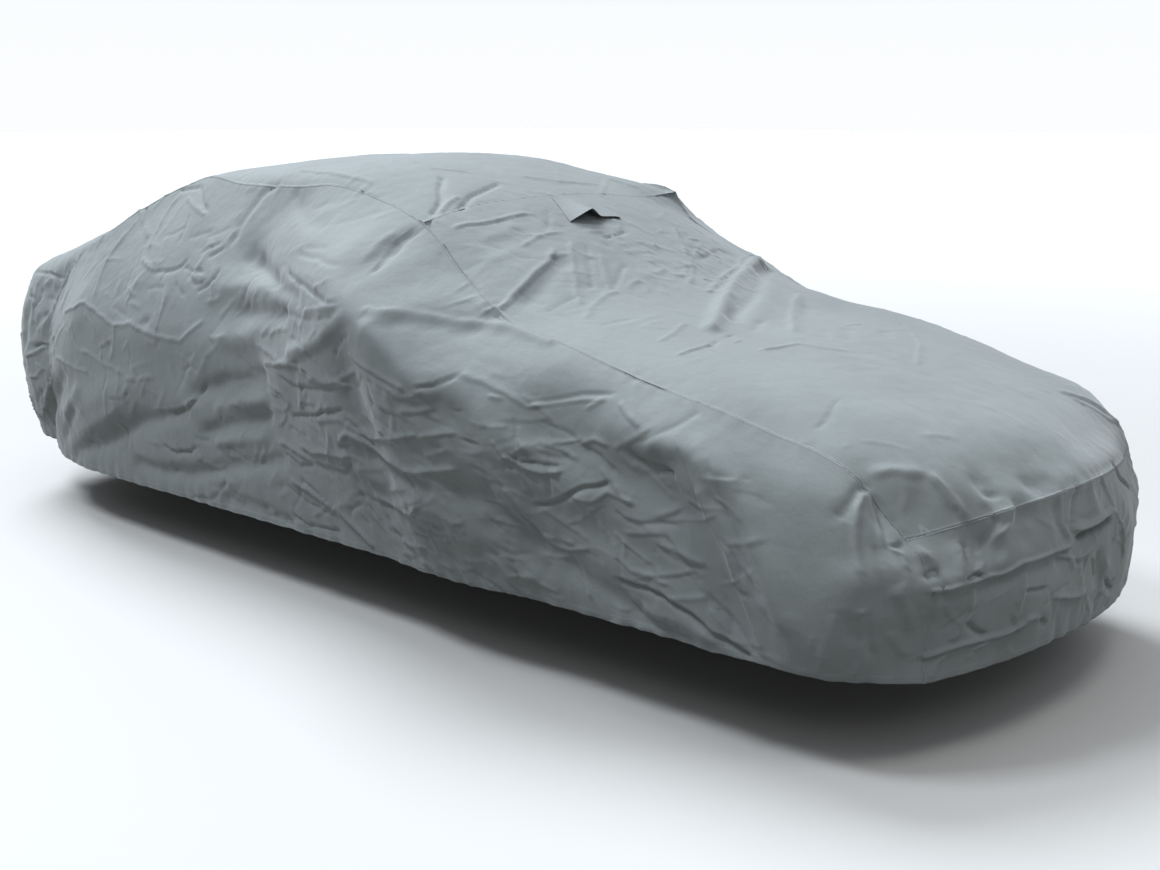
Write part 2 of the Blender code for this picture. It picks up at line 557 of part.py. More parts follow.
# ---------------------------------------------------------------- the object
def clear_scene():
    for thing in list(bpy.data.objects):
        bpy.data.objects.remove(thing, do_unlink=True)


def build_cover():
    clear_scene()
    drape = draped_cover()
    top = drape.index[("strip", DROP_ROWS + HOLD_ROW, 0)]
    hold = drape.points[top] - CLOTH * drape.normals[top]
    holder = bpy.data.objects.new("car_top", None)
    bpy.context.scene.collection.objects.link(holder)
    sewn = {edge for faces in drape.faces.values() for edge in seam_sides(faces)}
    for name, faces in drape.faces.items():
        points, skin = shell(drape, faces, sewn)
        add_piece(name, points - hold, skin, holder)
    points, skin = flap_shell(drape)
    add_piece("vent_flap", points - hold, skin, holder)


build_cover()
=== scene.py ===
# %% [markdown]
# # A fitted dust cover, hung over the shape that it keeps clean
#
# The cover is light non-woven cloth, sewn from a roof panel, a back panel, a bonnet panel, a nose
# panel and two tall side panels, with a small sewn vent flap in front of the roof. Nothing holds it
# flat, so it is full of folds: tight creases run out from the two points where it tents outwards,
# long ones fall to the hem, and every seam is a little gathered.
#
# The lesson starts from a frame, which is the cover's plain panels at their real size. A camera
# comes first, then finer cloth on the frame's own folds, then creases, seams, thickness, finish,
# floor and light.

# %% The tools of the lesson
import json
import math
import random
from collections import namedtuple

import bmesh
import bpy
import numpy as np
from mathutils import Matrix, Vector, kdtree, noise

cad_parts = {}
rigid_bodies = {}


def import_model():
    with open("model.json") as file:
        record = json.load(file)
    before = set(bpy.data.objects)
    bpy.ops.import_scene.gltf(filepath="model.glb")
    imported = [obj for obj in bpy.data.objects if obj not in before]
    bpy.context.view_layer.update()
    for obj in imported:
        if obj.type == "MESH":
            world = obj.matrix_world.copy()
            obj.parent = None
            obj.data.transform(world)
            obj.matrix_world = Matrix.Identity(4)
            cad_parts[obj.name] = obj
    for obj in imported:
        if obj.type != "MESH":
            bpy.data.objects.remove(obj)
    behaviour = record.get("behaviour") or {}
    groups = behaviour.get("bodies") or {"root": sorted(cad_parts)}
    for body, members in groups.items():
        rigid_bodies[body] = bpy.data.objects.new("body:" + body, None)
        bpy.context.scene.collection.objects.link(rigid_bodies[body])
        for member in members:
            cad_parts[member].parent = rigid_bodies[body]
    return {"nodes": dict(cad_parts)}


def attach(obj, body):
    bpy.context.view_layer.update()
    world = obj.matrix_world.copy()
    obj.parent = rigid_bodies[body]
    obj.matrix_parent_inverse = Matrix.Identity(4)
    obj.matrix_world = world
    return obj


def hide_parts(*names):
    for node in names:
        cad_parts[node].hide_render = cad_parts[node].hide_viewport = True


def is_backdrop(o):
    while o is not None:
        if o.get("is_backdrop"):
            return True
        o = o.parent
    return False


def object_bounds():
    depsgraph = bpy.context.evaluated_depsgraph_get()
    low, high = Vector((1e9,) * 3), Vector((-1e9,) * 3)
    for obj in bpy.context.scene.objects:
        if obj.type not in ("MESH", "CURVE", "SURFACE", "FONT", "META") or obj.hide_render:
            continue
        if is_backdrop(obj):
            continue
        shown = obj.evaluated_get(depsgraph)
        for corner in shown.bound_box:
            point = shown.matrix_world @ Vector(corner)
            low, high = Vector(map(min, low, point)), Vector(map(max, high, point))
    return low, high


MM = 0.001
CM_IN_M = 100
TINY = 1e-12  # keeps a length of 0 from dividing anything
PANELS = ("roof_panel", "back_panel", "bonnet_panel", "nose_panel", "side_panel_right",
          "side_panel_left")

for thing in list(bpy.data.objects):
    bpy.data.objects.remove(thing)

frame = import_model()
bpy.ops.object.select_all(action="DESELECT")
cad_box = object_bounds()
print("frame:", sorted(frame["nodes"]), "sides", [round(side, 3) for side in cad_box[1] - cad_box[0]])

# %% [markdown]
# ## Sizes that can be checked with a tape
#
# The frame's origin is the point on top of the roof where the cover rests. The tables below give
# places as a tape on the ground would: x runs forwards from the middle of the front tent, y runs to
# the left and z is the height over the ground. HOLD is the resting point in those sizes, so taking
# it away turns a tape size into a place in the frame.

# %% Tape sizes
HOLD = Vector((-1.820, 0.0, 1.437))


def place(x, y, z):
    """A point given in tape sizes, in the frame."""
    return Vector((x, y, z)) - HOLD


print("the ground lies", HOLD.z, "m under the origin")

# %% [markdown]
# ## The camera
#
# It stands in front of the right front corner, at eye height, and looks a little down along the
# right side. An empty scene shows nothing to check a lens against, so the camera comes before any
# cloth: each later step can then be looked at from the same spot.

# %% The camera
EYE = place(2.253, -3.570, 1.584)
TURN = 2.308  # radians from the x axis to the line of sight
TILT = -0.223
LENS = 43.9
SENSOR = 36  # mm, the width of the picture behind the lens
SIGHT = 200  # m, farther than the edge of the floor


def add_camera():
    bpy.ops.object.camera_add(location=EYE, rotation=(math.pi / 2 + TILT, 0, TURN - math.pi / 2))
    camera = bpy.context.object
    camera.name = "view_camera"
    camera.data.lens = LENS
    camera.data.sensor_width = SENSOR
    camera.data.clip_end = SIGHT
    bpy.context.scene.camera = camera


add_camera()
print("camera at", [round(part, 3) for part in EYE])

# %% [markdown]
# ## The outer skin of the panels
#
# Each panel of the frame is a closed shell, 2 mm thick: an outer skin, an inner skin and a narrow
# rim. Fine creases are easier on one open skin without a back. The shells are copied, the rim is
# found by its short edges and removed, and the skin that faces away from the middle is kept. All
# six skins are then joined into one, so that a fold runs on across a seam. The material number of
# each face remembers which panel it was cut from.

# %% Keep the outer skins
RIM_WIDTH = 4 * MM  # the rim's edges are shorter than this, and no other edge is
SAME_POINT = 0.01 * MM
MIDDLE = Vector((0.0, 0.0, -0.7))


def islands(mesh):
    """The groups of faces that hang together."""
    left = set(mesh.faces)
    while left:
        todo = [left.pop()]
        found = []
        while todo:
            face = todo.pop()
            found.append(face)
            for edge in face.edges:
                for other in edge.link_faces:
                    if other in left:
                        left.remove(other)
                        todo.append(other)
        yield found


def outwardness(faces):
    return sum(face.calc_area() * face.normal.dot((face.calc_center_median() - MIDDLE).normalized())
               for face in faces)


def outer_skin(node):
    """The outer skin of a node's shell, as an object of its own."""
    mesh = bmesh.new()
    mesh.from_mesh(frame["nodes"][node].data)
    bmesh.ops.remove_doubles(mesh, verts=mesh.verts, dist=SAME_POINT)
    rim = [face for face in mesh.faces if min(edge.calc_length() for edge in face.edges) < RIM_WIDTH]
    bmesh.ops.delete(mesh, geom=rim, context="FACES")
    skins = sorted(islands(mesh), key=outwardness)
    for skin in skins[:-1]:
        bmesh.ops.delete(mesh, geom=skin, context="FACES")
    data = bpy.data.meshes.new(node + "_skin")
    mesh.to_mesh(data)
    mesh.free()
    skin = bpy.data.objects.new(node + "_skin", data)
    bpy.context.scene.collection.objects.link(skin)
    return skin


# %% Join them into one cloth
JOIN_GAP = 1 * MM  # at a seam the panels lie nearer to each other than this


def joined_cloth():
    skins = [outer_skin(node) for node in PANELS]
    marks = [bpy.data.materials.new("mark_" + node) for node in PANELS]
    for number, skin in enumerate(skins):
        for mark in marks:
            skin.data.materials.append(mark)
        skin.data.polygons.foreach_set("material_index", [number] * len(skin.data.polygons))
        skin.select_set(True)
    bpy.context.view_layer.objects.active = skins[0]
    bpy.ops.object.join()
    skins[0].name = "cloth"
    return skins[0]


cloth = joined_cloth()
bpy.ops.object.mode_set(mode="EDIT")
bpy.ops.mesh.select_all(action="SELECT")
bpy.ops.mesh.remove_doubles(threshold=JOIN_GAP)
bpy.ops.mesh.tris_convert_to_quads(face_threshold=math.pi, shape_threshold=math.pi,
                                   topology_influence=2.0, materials=True)
bpy.ops.object.mode_set(mode="OBJECT")
print("one cloth of", len(cloth.data.vertices), "points and", len(cloth.data.polygons), "faces")

# %% [markdown]
# ## A smoother, finer cloth
#
# Subdivision Surface rounds a mesh, but it also pulls it in: the smooth surface passes inside the
# points that it started from, and the folds would lose height. So the points are first moved out by
# what the modifier takes away, twice, and the smooth cloth then passes through the frame's own
# points. The seam edges get a crease of 1, which keeps them as lines.
#
# That mesh, with points 40 mm apart, is kept as it is for the inside. The outside is cut four
# times finer still and relaxed, which rounds the last flat spots.

# %% Find the seams and the hem
def edge_faces(data):
    """For each edge, the faces on it."""
    faces = {}
    for polygon in data.polygons:
        for key in polygon.edge_keys:
            faces.setdefault(key, []).append(polygon.index)
    return faces


def crease_seams(data):
    """A crease of 1 on each edge where two panels meet."""
    faces = edge_faces(data)
    crease = data.attributes.new("crease_edge", "FLOAT", "EDGE")
    seams = 0
    for edge in data.edges:
        panels = {data.polygons[number].material_index for number in faces[edge.key]}
        if len(panels) > 1:
            crease.data[edge.index].value = 1.0
            seams += 1
    return seams


print(crease_seams(cloth.data), "seam edges")


# %% Move the points out by what the modifier takes away
CORRECTIONS = 2


def values_of(items, name, width=1, kind=float):
    """A value, or a row of values, for each part of a mesh."""
    values = np.empty(len(items) * width, kind)
    items.foreach_get(name, values)
    return values.reshape(-1, width) if width > 1 else values


def points_of(data):
    return values_of(data.vertices, "co", 3)


def set_points(data, points):
    data.vertices.foreach_set("co", np.ascontiguousarray(points, float).ravel())
    data.update()


def add_smoothing():
    smoothing = cloth.modifiers.new("smooth", "SUBSURF")
    smoothing.levels = smoothing.render_levels = 1
    smoothing.boundary_smooth = "PRESERVE_CORNERS"
    return smoothing


smoothing = add_smoothing()
wanted = points_of(cloth.data)
for _ in range(CORRECTIONS):
    smooth = cloth.evaluated_get(bpy.context.evaluated_depsgraph_get()).to_mesh()
    reached = points_of(smooth)[: len(wanted)]
    print("the smooth cloth misses the frame by up to",
          round(float(np.abs(wanted - reached).max()) / MM, 1), "mm")
    set_points(cloth.data, points_of(cloth.data) + wanted - reached)
bpy.ops.object.modifier_apply(modifier=smoothing.name)

# %% Keep it for the inside, and cut the outside finer
CUTS = 4  # new points on each edge


def faces_of(data):
    return np.array([tuple(polygon.vertices) for polygon in data.polygons])


def panel_numbers(data):
    return values_of(data.polygons, "material_index", kind=np.int32)


coarse_faces = faces_of(cloth.data)
coarse_panels = panel_numbers(cloth.data)
coarse_count = len(cloth.data.vertices)
parent = cloth.data.attributes.new("parent", "INT", "FACE")
parent.data.foreach_set("value", np.arange(len(coarse_faces)))

bpy.ops.object.mode_set(mode="EDIT")
bpy.ops.mesh.select_all(action="SELECT")
bpy.ops.mesh.subdivide(number_cuts=CUTS)
bpy.ops.object.mode_set(mode="OBJECT")

fine_faces = faces_of(cloth.data)
fine_panels = panel_numbers(cloth.data)
fine_parents = values_of(cloth.data.attributes["parent"].data, "value", kind=np.int32)
print("coarse:", coarse_count, "points; fine:", len(cloth.data.vertices), "points")


# %% Relax the fine cloth
ROUNDS = 5
PASSES = 5  # over the cloth, and as many along its lines, in each round
NEARER = 0.5  # how much of the way to the mean of its neighbours a point goes in a pass


def line_edges(faces, panels):
    """The edges on the hem, and those on a seam, as two lists of point pairs."""
    pairs = np.sort(np.stack([faces, np.roll(faces, -1, 1)], -1).reshape(-1, 2), 1)
    owner = np.repeat(panels, 4)
    order = np.lexsort((pairs[:, 1], pairs[:, 0]))
    pairs, owner = pairs[order], owner[order]
    same = (pairs[1:] == pairs[:-1]).all(1)
    alone = np.ones(len(pairs), bool)
    alone[1:] &= ~same
    alone[:-1] &= ~same
    crossing = np.flatnonzero(same & (owner[1:] != owner[:-1]))
    return pairs[alone], pairs[crossing]


def relaxed(points, edges, rounds):
    """Each point moved towards the mean of its neighbours. Points on a line stay on the line."""
    degree = np.maximum(np.bincount(edges.ravel(), minlength=len(points)), 1)[:, None]
    loose = np.bincount(edges.ravel(), minlength=len(points))[:, None] > 0
    for _ in range(rounds):
        total = np.stack([np.bincount(edges[:, 0], points[edges[:, 1], axis], len(points))
                          + np.bincount(edges[:, 1], points[edges[:, 0], axis], len(points))
                          for axis in range(3)], 1)
        points = np.where(loose, points + NEARER * (total / degree - points), points)
    return points


hem_edges, seam_edges = line_edges(fine_faces, fine_panels)
lines = np.concatenate([hem_edges, seam_edges])
on_line = np.zeros(len(cloth.data.vertices), bool)
on_line[lines.ravel()] = True
along = np.bincount(lines.ravel(), minlength=len(on_line))
ends = np.flatnonzero((along > 0) & (along != 2))
inner_edges = values_of(cloth.data.edges, "vertices", 2, np.int32)
points = points_of(cloth.data)
for _ in range(ROUNDS):
    spread = relaxed(points, inner_edges, PASSES)
    along_lines = relaxed(points, lines, PASSES)
    along_lines[ends] = points[ends]
    points = np.where(on_line[:, None], along_lines, spread)
print(len(hem_edges), "hem edges,", len(seam_edges), "seam edges,", len(ends), "seam corners")

# %% Soften a fold that the frame has too sharp
SoftLine = namedtuple("SoftLine", "reach line")
TOO_SHARP = [  # x and z on the right side, in tape sizes
    SoftLine(0.07, ((-0.95, 0.95), (-0.91, 0.80), (-0.91, 0.66), (-0.85, 0.54), (-0.83, 0.40))),
    SoftLine(0.06, ((-0.50, 0.86), (-0.36, 0.83), (-0.20, 0.87), (-0.06, 0.88))),
    SoftLine(0.09, ((-1.85, 1.04), (-1.66, 1.01), (-1.52, 0.97), (-1.42, 0.93))),
]
SMOOTH_PANELS = ("roof_panel", "bonnet_panel")  # these hang flat, so they are softened all over
SOFTENING = 80


def gap_to(flat, corners):
    """The gap from points on a flat drawing to a line with corners."""
    gap = np.full(len(flat), np.inf)
    for a, b in zip(corners[:-1], corners[1:]):
        step = np.array(b) - a
        at = np.clip((flat - a) @ step / (step @ step), 0, 1)
        gap = np.minimum(gap, np.hypot(*(flat - a - at[:, None] * step).T))
    return gap


soft = relaxed(points, inner_edges, SOFTENING)
soft[on_line] = points[on_line]
for mark in TOO_SHARP:
    flat = (points + np.array(HOLD))[:, (0, 2)]
    share = np.exp(-(gap_to(flat, mark.line) / mark.reach) ** 2) * (points[:, 1] < 0)
    points = points + share[:, None] * (soft - points)
flat_faces = np.isin(fine_panels, [PANELS.index(name) for name in SMOOTH_PANELS])
flat_points = np.unique(fine_faces[flat_faces])
points[flat_points] = soft[flat_points]
print("softened", len(TOO_SHARP), "folds and", len(SMOOTH_PANELS), "panels")

# %% [markdown]
# ## Where a point looks, and how far it is from a seam
#
# A crease belongs to one side of the cover. Its line is given flat, as seen from that side: x and z
# for the right and left sides, x and y for the top, y and z for the nose and the tail. Two corners
# need a side of their own: the knee, where a side panel turns round the front corner, is given as
# seen from the front, and the strip of the back panel round a rear corner as seen from the right or
# the left. A crease then has to stay on its side, so each point gets a share of it from the way its
# normal looks, and on the far side of a seam the crease dies out within a few centimetres.
#
# The distance to the nearest seam, and the run along it, also drive the gathers, and later the
# stitches. Both come from points placed every few millimetres along the seams.

# %% Normals, in one go
def normals_of(points, faces):
    """Point normals: the sum of the normals of the faces around each point."""
    corner = points[faces]
    across = np.cross(corner[:, 2] - corner[:, 0], corner[:, 3] - corner[:, 1])
    total = np.stack([np.bincount(faces.ravel(), np.repeat(across[:, axis], 4), len(points))
                      for axis in range(3)], 1)
    return total / np.maximum(np.linalg.norm(total, axis=1, keepdims=True), TINY)


NORMAL_ROUNDS = 12  # evened out, so that a crease doesn't copy the small bumps under it
normals = relaxed(normals_of(points, fine_faces), inner_edges, NORMAL_ROUNDS)
normals /= np.linalg.norm(normals, axis=1, keepdims=True)


# %% Chains of points along the seams and the hem
def chains(edges):
    """Runs of edges that follow each other, each a list of point numbers."""
    beside = {}
    for a, b in edges.tolist():
        beside.setdefault(a, []).append(b)
        beside.setdefault(b, []).append(a)
    used = set()
    corners = [point for point in beside if len(beside[point]) != 2]
    found = []
    for start in corners + sorted(beside):
        for second in beside[start]:
            if (start, second) in used:
                continue
            chain = [start]
            last, point = start, second
            while True:
                used.add((last, point))
                used.add((point, last))
                chain.append(point)
                onward = [other for other in beside[point] if (point, other) not in used]
                if len(beside[point]) != 2 or not onward:
                    break
                last, point = point, onward[0]
            found.append(chain)
    return found


seam_chains = chains(seam_edges)
hem_chains = chains(hem_edges)
print(len(seam_chains), "seams,", len(hem_chains), "hem round the foot")

# %% Distance from a line of stitching, and the run along it
LINE_STEP = 2 * MM
LINE_BREAK = 1.0  # m, added to the run from one line to the next


def line_tree(lines_of_points, points):
    """A tree of points every 2 mm along the lines, with the run at each."""
    samples = []
    runs = []
    start = 0.0
    for chain in lines_of_points:
        corner = points[chain]
        length = np.linalg.norm(np.diff(corner, axis=0), axis=1)
        run = np.concatenate([[0.0], np.cumsum(length)])
        at = np.arange(0.0, run[-1], LINE_STEP)
        samples.append(np.stack([np.interp(at, run, corner[:, axis]) for axis in range(3)], 1))
        runs.append(start + at)
        start += run[-1] + LINE_BREAK
    samples = np.concatenate(samples)
    tree = kdtree.KDTree(len(samples))
    for number, sample in enumerate(samples):
        tree.insert(sample, number)
    tree.balance()
    return tree, np.concatenate(runs)


def measured(points, tree, runs):
    """The gap to the line and the run along it, for each point."""
    nearest = [tree.find(point)[1:] for point in points.tolist()]
    numbers = np.array([number for number, _ in nearest])
    return np.array([gap for _, gap in nearest]), runs[numbers]


seam_tree, seam_runs = line_tree(seam_chains, points)
hem_tree, hem_runs = line_tree(hem_chains, points)
seam_gap, seam_run = measured(points, seam_tree, seam_runs)
hem_gap, hem_run = measured(points, hem_tree, hem_runs)
print("seams:", round(len(seam_runs) * LINE_STEP, 1), "m, hem:",
      round(len(hem_runs) * LINE_STEP, 1), "m")

# %% Which side of the cover a point belongs to
Side = namedtuple("Side", "axes outward panels")
SIDES = {
    "right": Side((0, 2), (0, -1, 0), ("side_panel_right",)),
    "left": Side((0, 2), (0, 1, 0), ("side_panel_left",)),
    "top": Side((0, 1), (0, 0, 1), ("roof_panel", "back_panel", "bonnet_panel")),
    "nose": Side((1, 2), (1, 0, 0), ("nose_panel",)),
    "tail": Side((1, 2), (-1, 0, 0), ("back_panel",)),
    "rear right": Side((0, 2), (0, -1, 0), ("back_panel",)),
    "rear left": Side((0, 2), (0, 1, 0), ("back_panel",)),
    "right knee": Side((1, 2), (1, 0, 0), ("side_panel_right",)),
    "left knee": Side((1, 2), (1, 0, 0), ("side_panel_left",)),
}
OVER_SEAM = 30 * MM  # how far a crease runs on past a seam
FACING_FROM = 0.15  # a point that looks the side's way by less than this takes no crease
FACING_OVER = 0.25  # and by so much more, the whole of it


def share_of(side):
    """From 0 to 1 at each point: how much of this side's creases it takes."""
    facing = np.clip((normals @ np.array(side.outward, float) - FACING_FROM) / FACING_OVER, 0, 1)
    numbers = [PANELS.index(panel) for panel in side.panels]
    own = np.zeros(len(points), bool)
    own[fine_faces[np.isin(fine_panels, numbers)].ravel()] = True
    return facing * np.where(own, 1.0, np.exp(-seam_gap / OVER_SEAM))


shares = {name: share_of(side) for name, side in SIDES.items()}

# %% [markdown]
# ## One crease
#
# A crease is a line on the cloth with a width, a height and a tilt, all in millimetres. A narrow
# crease is a sharp fold: its height falls off quickly from a crest. A wide one is a soft swell or
# hollow. The tilt lifts one side of the line and lowers the other, which is what light catches
# along a pressed edge. Each crease fades out towards its two ends.

# %% The shape across and along a crease
Crease = namedtuple("Crease", "side width height tilt line")
SHARP = 20  # mm: narrower creases have a crest, wider ones are soft
CREST = 0.15  # how round a crest is, as a share of its width
FOOT = 3  # widths from the line to where a crease has all but gone
TILT_GAIN = 1.5
LEAST_FADE = 0.25  # the share of a sharp crease that is left at its ends
NEARBY = 4  # widths round a line beyond which nothing is lifted
SNAP = 3.6 * MM  # a point nearer than this to a crest is moved onto it
SNAP_SHARE = 0.45  # but by no more than this share of its shortest edge
SNAP_FACING = 0.7  # and only where the cloth faces its side this squarely
WOBBLE_STEP = 45 * MM
WOBBLE = 0.10  # how far a corner strays, as a share of the step


def crest(across):
    return np.exp(CREST - np.sqrt(across ** 2 + CREST ** 2)) * np.exp(-(across / FOOT) ** 2)


def nearest_on_line(flat, corners):
    """For points on a flat drawing: the way to a line, the side of it, and the run along it."""
    best = np.full(len(flat), np.inf)
    way = np.zeros((len(flat), 2))
    hand = np.zeros(len(flat))
    run = np.zeros(len(flat))
    start = 0.0
    for a, b in zip(corners[:-1], corners[1:]):
        step = b - a
        length = np.hypot(*step)
        off = flat - a
        at = np.clip(off @ step / length ** 2, 0, 1)
        back = at[:, None] * step - off
        gap = np.hypot(*back.T)
        closer = gap < best
        best[closer] = gap[closer]
        way[closer] = back[closer]
        turn = (step[0] * off[:, 1] - step[1] * off[:, 0]) / length
        hand[closer] = turn[closer]
        run[closer] = (start + at * length)[closer]
        start += length
    return way, hand, run, start


def wobbled(line, key):
    """A line with more corners, each moved a little off it, because no crease is straight."""
    draw = random.Random(key)
    corners = [np.array(line[0], float)]
    for a, b in zip(line[:-1], line[1:]):
        a, b = np.array(a, float), np.array(b, float)
        length = np.hypot(*(b - a))
        pieces = max(1, round(length / WOBBLE_STEP))
        off = np.array([a[1] - b[1], b[0] - a[0]]) / max(length, TINY)
        for number in range(1, pieces + 1):
            stray = draw.uniform(-1, 1) * WOBBLE * min(length, WOBBLE_STEP) * (number < pieces)
            corners.append(a + (b - a) * number / pieces + off * stray)
    return np.array(corners)


def rise(crease, flat, snap):
    """How far a crease lifts each point of a flat drawing, and the way to its line where near."""
    width = crease.width * MM
    line = wobbled(crease.line, str(crease.line[0]))
    way, hand, run, length = nearest_on_line(flat, line)
    gap = np.hypot(*way.T)
    sharp = crease.width < SHARP
    onto = sharp & (gap < snap) & (run > 0) & (run < length)
    across = np.where(onto, 0.0, gap / width)
    body = crest(across) if sharp else np.exp(-across ** 2)
    ends = np.clip(np.minimum(run, length - run) / min(2 * width, length / 2), 0, 1)
    fade = ends * ends * (3 - 2 * ends)
    if sharp:
        fade = LEAST_FADE + (1 - LEAST_FADE) * fade
    odd = np.where(onto, 0.0, np.clip(hand / width, -FOOT, FOOT) * np.exp(-across ** 2))
    height = (crease.height * body + TILT_GAIN * crease.tilt * odd) * MM * fade
    return height, np.where(onto[:, None], way, 0)


# %% All creases of a side
TAPE = points + np.array(HOLD)
FLAT = {name: TAPE[:, side.axes] for name, side in SIDES.items()}


def snap_at():
    """How far each point may be moved onto a crest."""
    length = np.linalg.norm(points[inner_edges[:, 0]] - points[inner_edges[:, 1]], axis=1)
    shortest = np.full(len(points), SNAP / SNAP_SHARE)
    for column in (0, 1):
        np.minimum.at(shortest, inner_edges[:, column], length)
    return SNAP_SHARE * shortest


snap = snap_at()


def lift_by(creases):
    """The sum of all creases at each point, and the slide that puts points onto the crests."""
    lift = np.zeros(len(points))
    slide = np.zeros((len(points), 3))
    for crease in creases:
        flat = FLAT[crease.side]
        line = np.array(crease.line, float)
        reach = NEARBY * crease.width * MM
        near = ((flat > line.min(0) - reach) & (flat < line.max(0) + reach)).all(1)
        near &= shares[crease.side] > 0
        where = np.flatnonzero(near)
        flatly = normals[where] @ np.array(SIDES[crease.side].outward, float) > SNAP_FACING
        height, way = rise(crease, flat[where], snap[where] * flatly)
        lift[where] += height * shares[crease.side][where]
        moved = (way != 0).any(1) & ~on_line[where]
        slide[where[moved]] = 0
        slide[np.ix_(where[moved], SIDES[crease.side].axes)] = way[moved]
    return lift, slide - normals * (slide * normals).sum(1, keepdims=True)


print("a crest of 1 falls to", round(float(crest(np.array(1.0))), 2), "one width away")

# %% [markdown]
# ## The creases that can be pointed at
#
# The lines below are the real cover's own creases, read one by one and put down in centimetres.
# They come in groups: the star round the tip of the tent, the hollows and crumples behind it, the
# rear quarter, the long folds that run forwards and down, the foot of the side and the knee at the
# front corner, the folds across the sloping front and the bonnet's foot, the pressed nose, and the
# strip round the rear corner.

# %% How the tables are read
def creases_on(side, *rows):
    """One side's creases. A row is a width, a height and a tilt in mm, then a line in cm."""
    return [Crease(side, width, height, tilt, tuple((a / CM_IN_M, b / CM_IN_M) for a, b in line))
            for width, height, tilt, *line in rows]


print("a row holds", ", ".join(Crease._fields[1:]))

# %% The right side: the star round the tent
STAR = creases_on(
    "right",
    (9, 4.5, 3.5, (-104, 104), (-111, 103), (-127, 100)),
    (8, -3.5, 2, (-105, 100), (-118, 98), (-145, 96), (-153, 98)),
    (8, -8.5, 5, (-111, 104), (-127, 106), (-149, 109)),
    (26, -10, 4, (-130, 102), (-158, 104), (-187, 109)),
    (8, -4.5, 2.5, (-115, 114), (-126, 114), (-146, 115)),
    (8, -3, 2.5, (-130, 117), (-146, 117)),
    (8, 3, 2.5, (-114, 111), (-123, 107)),
    (26, -6, 2, (-184, 133), (-171, 128), (-153, 124), (-140, 124)),
    (9, 7, -3.5, (-95, 104), (-83, 103), (-63, 100), (-40, 97)),
    (30, -10, 0, (-89, 102), (-70, 99), (-61, 99)),
    (7, 3, 2.5, (-79, 104), (-75, 106)),
    (7, 4.5, 3.5, (-69, 102), (-67, 104)),
    (30, -4, 0, (-102, 95), (-115, 89), (-139, 79)),
    (6, -6, 3.5, (-97, 96), (-105, 91), (-107, 88)),
    (7, 4.5, 2.5, (-99, 90), (-91, 88), (-73, 83)),
    (8, -7, 6, (-70, 84), (-65, 85), (-60, 88)),
    (9, 4.5, 2.5, (-60, 88), (-52, 86), (-37, 81), (-32, 82)),
    (8, -3.5, 2, (-38, 82), (-23, 86), (-13, 87)),
    (7, 2.5, 2, (-37, 81), (-28, 83), (-14, 85)),
    (6, 3, 2.5, (-106, 90), (-97, 96)),
    (8, -11.5, 5, (-104, 112), (-108, 117), (-110, 120), (-110, 124)),
    (7, 6.5, 2.5, (-105, 114), (-108, 118), (-110, 122)),
    (8, -9, 3.5, (-106, 116), (-109, 120), (-108, 124)),
    (16, 9, 0, (-110, 114), (-113, 119), (-114, 124)),
    (24, 10, 0, (-93, 102), (-81, 93), (-70, 84), (-62, 80)),
    (24, 9, 0, (-98, 102), (-116, 91), (-140, 84)),
)

# %% The right side: soft hollows behind the tent
HOLLOWS = creases_on(
    "right",
    (32, -17, 0, (-184, 93), (-166, 94.5), (-140, 96.5)),
    (30, -12, 0, (-194, 111), (-178, 108), (-154, 106)),
    (34, -17, 0, (-208, 61), (-187, 68), (-156, 75)),
    (30, -15, 0, (-202, 48), (-177, 56), (-155, 62)),
    (30, -16, 0, (-250, 31), (-230, 30), (-210, 32), (-185, 39), (-148, 48)),
    (26, -12, 0, (-192, 27), (-170, 27), (-146, 25)),
    (26, 6, 0, (-198, 100), (-160, 102)),
    (34, 9, 0, (-193, 82), (-163, 86)),
    (26, 11, 0, (-193, 59), (-157, 67)),
    (24, 11, 0, (-194, 46), (-159, 54)),
)

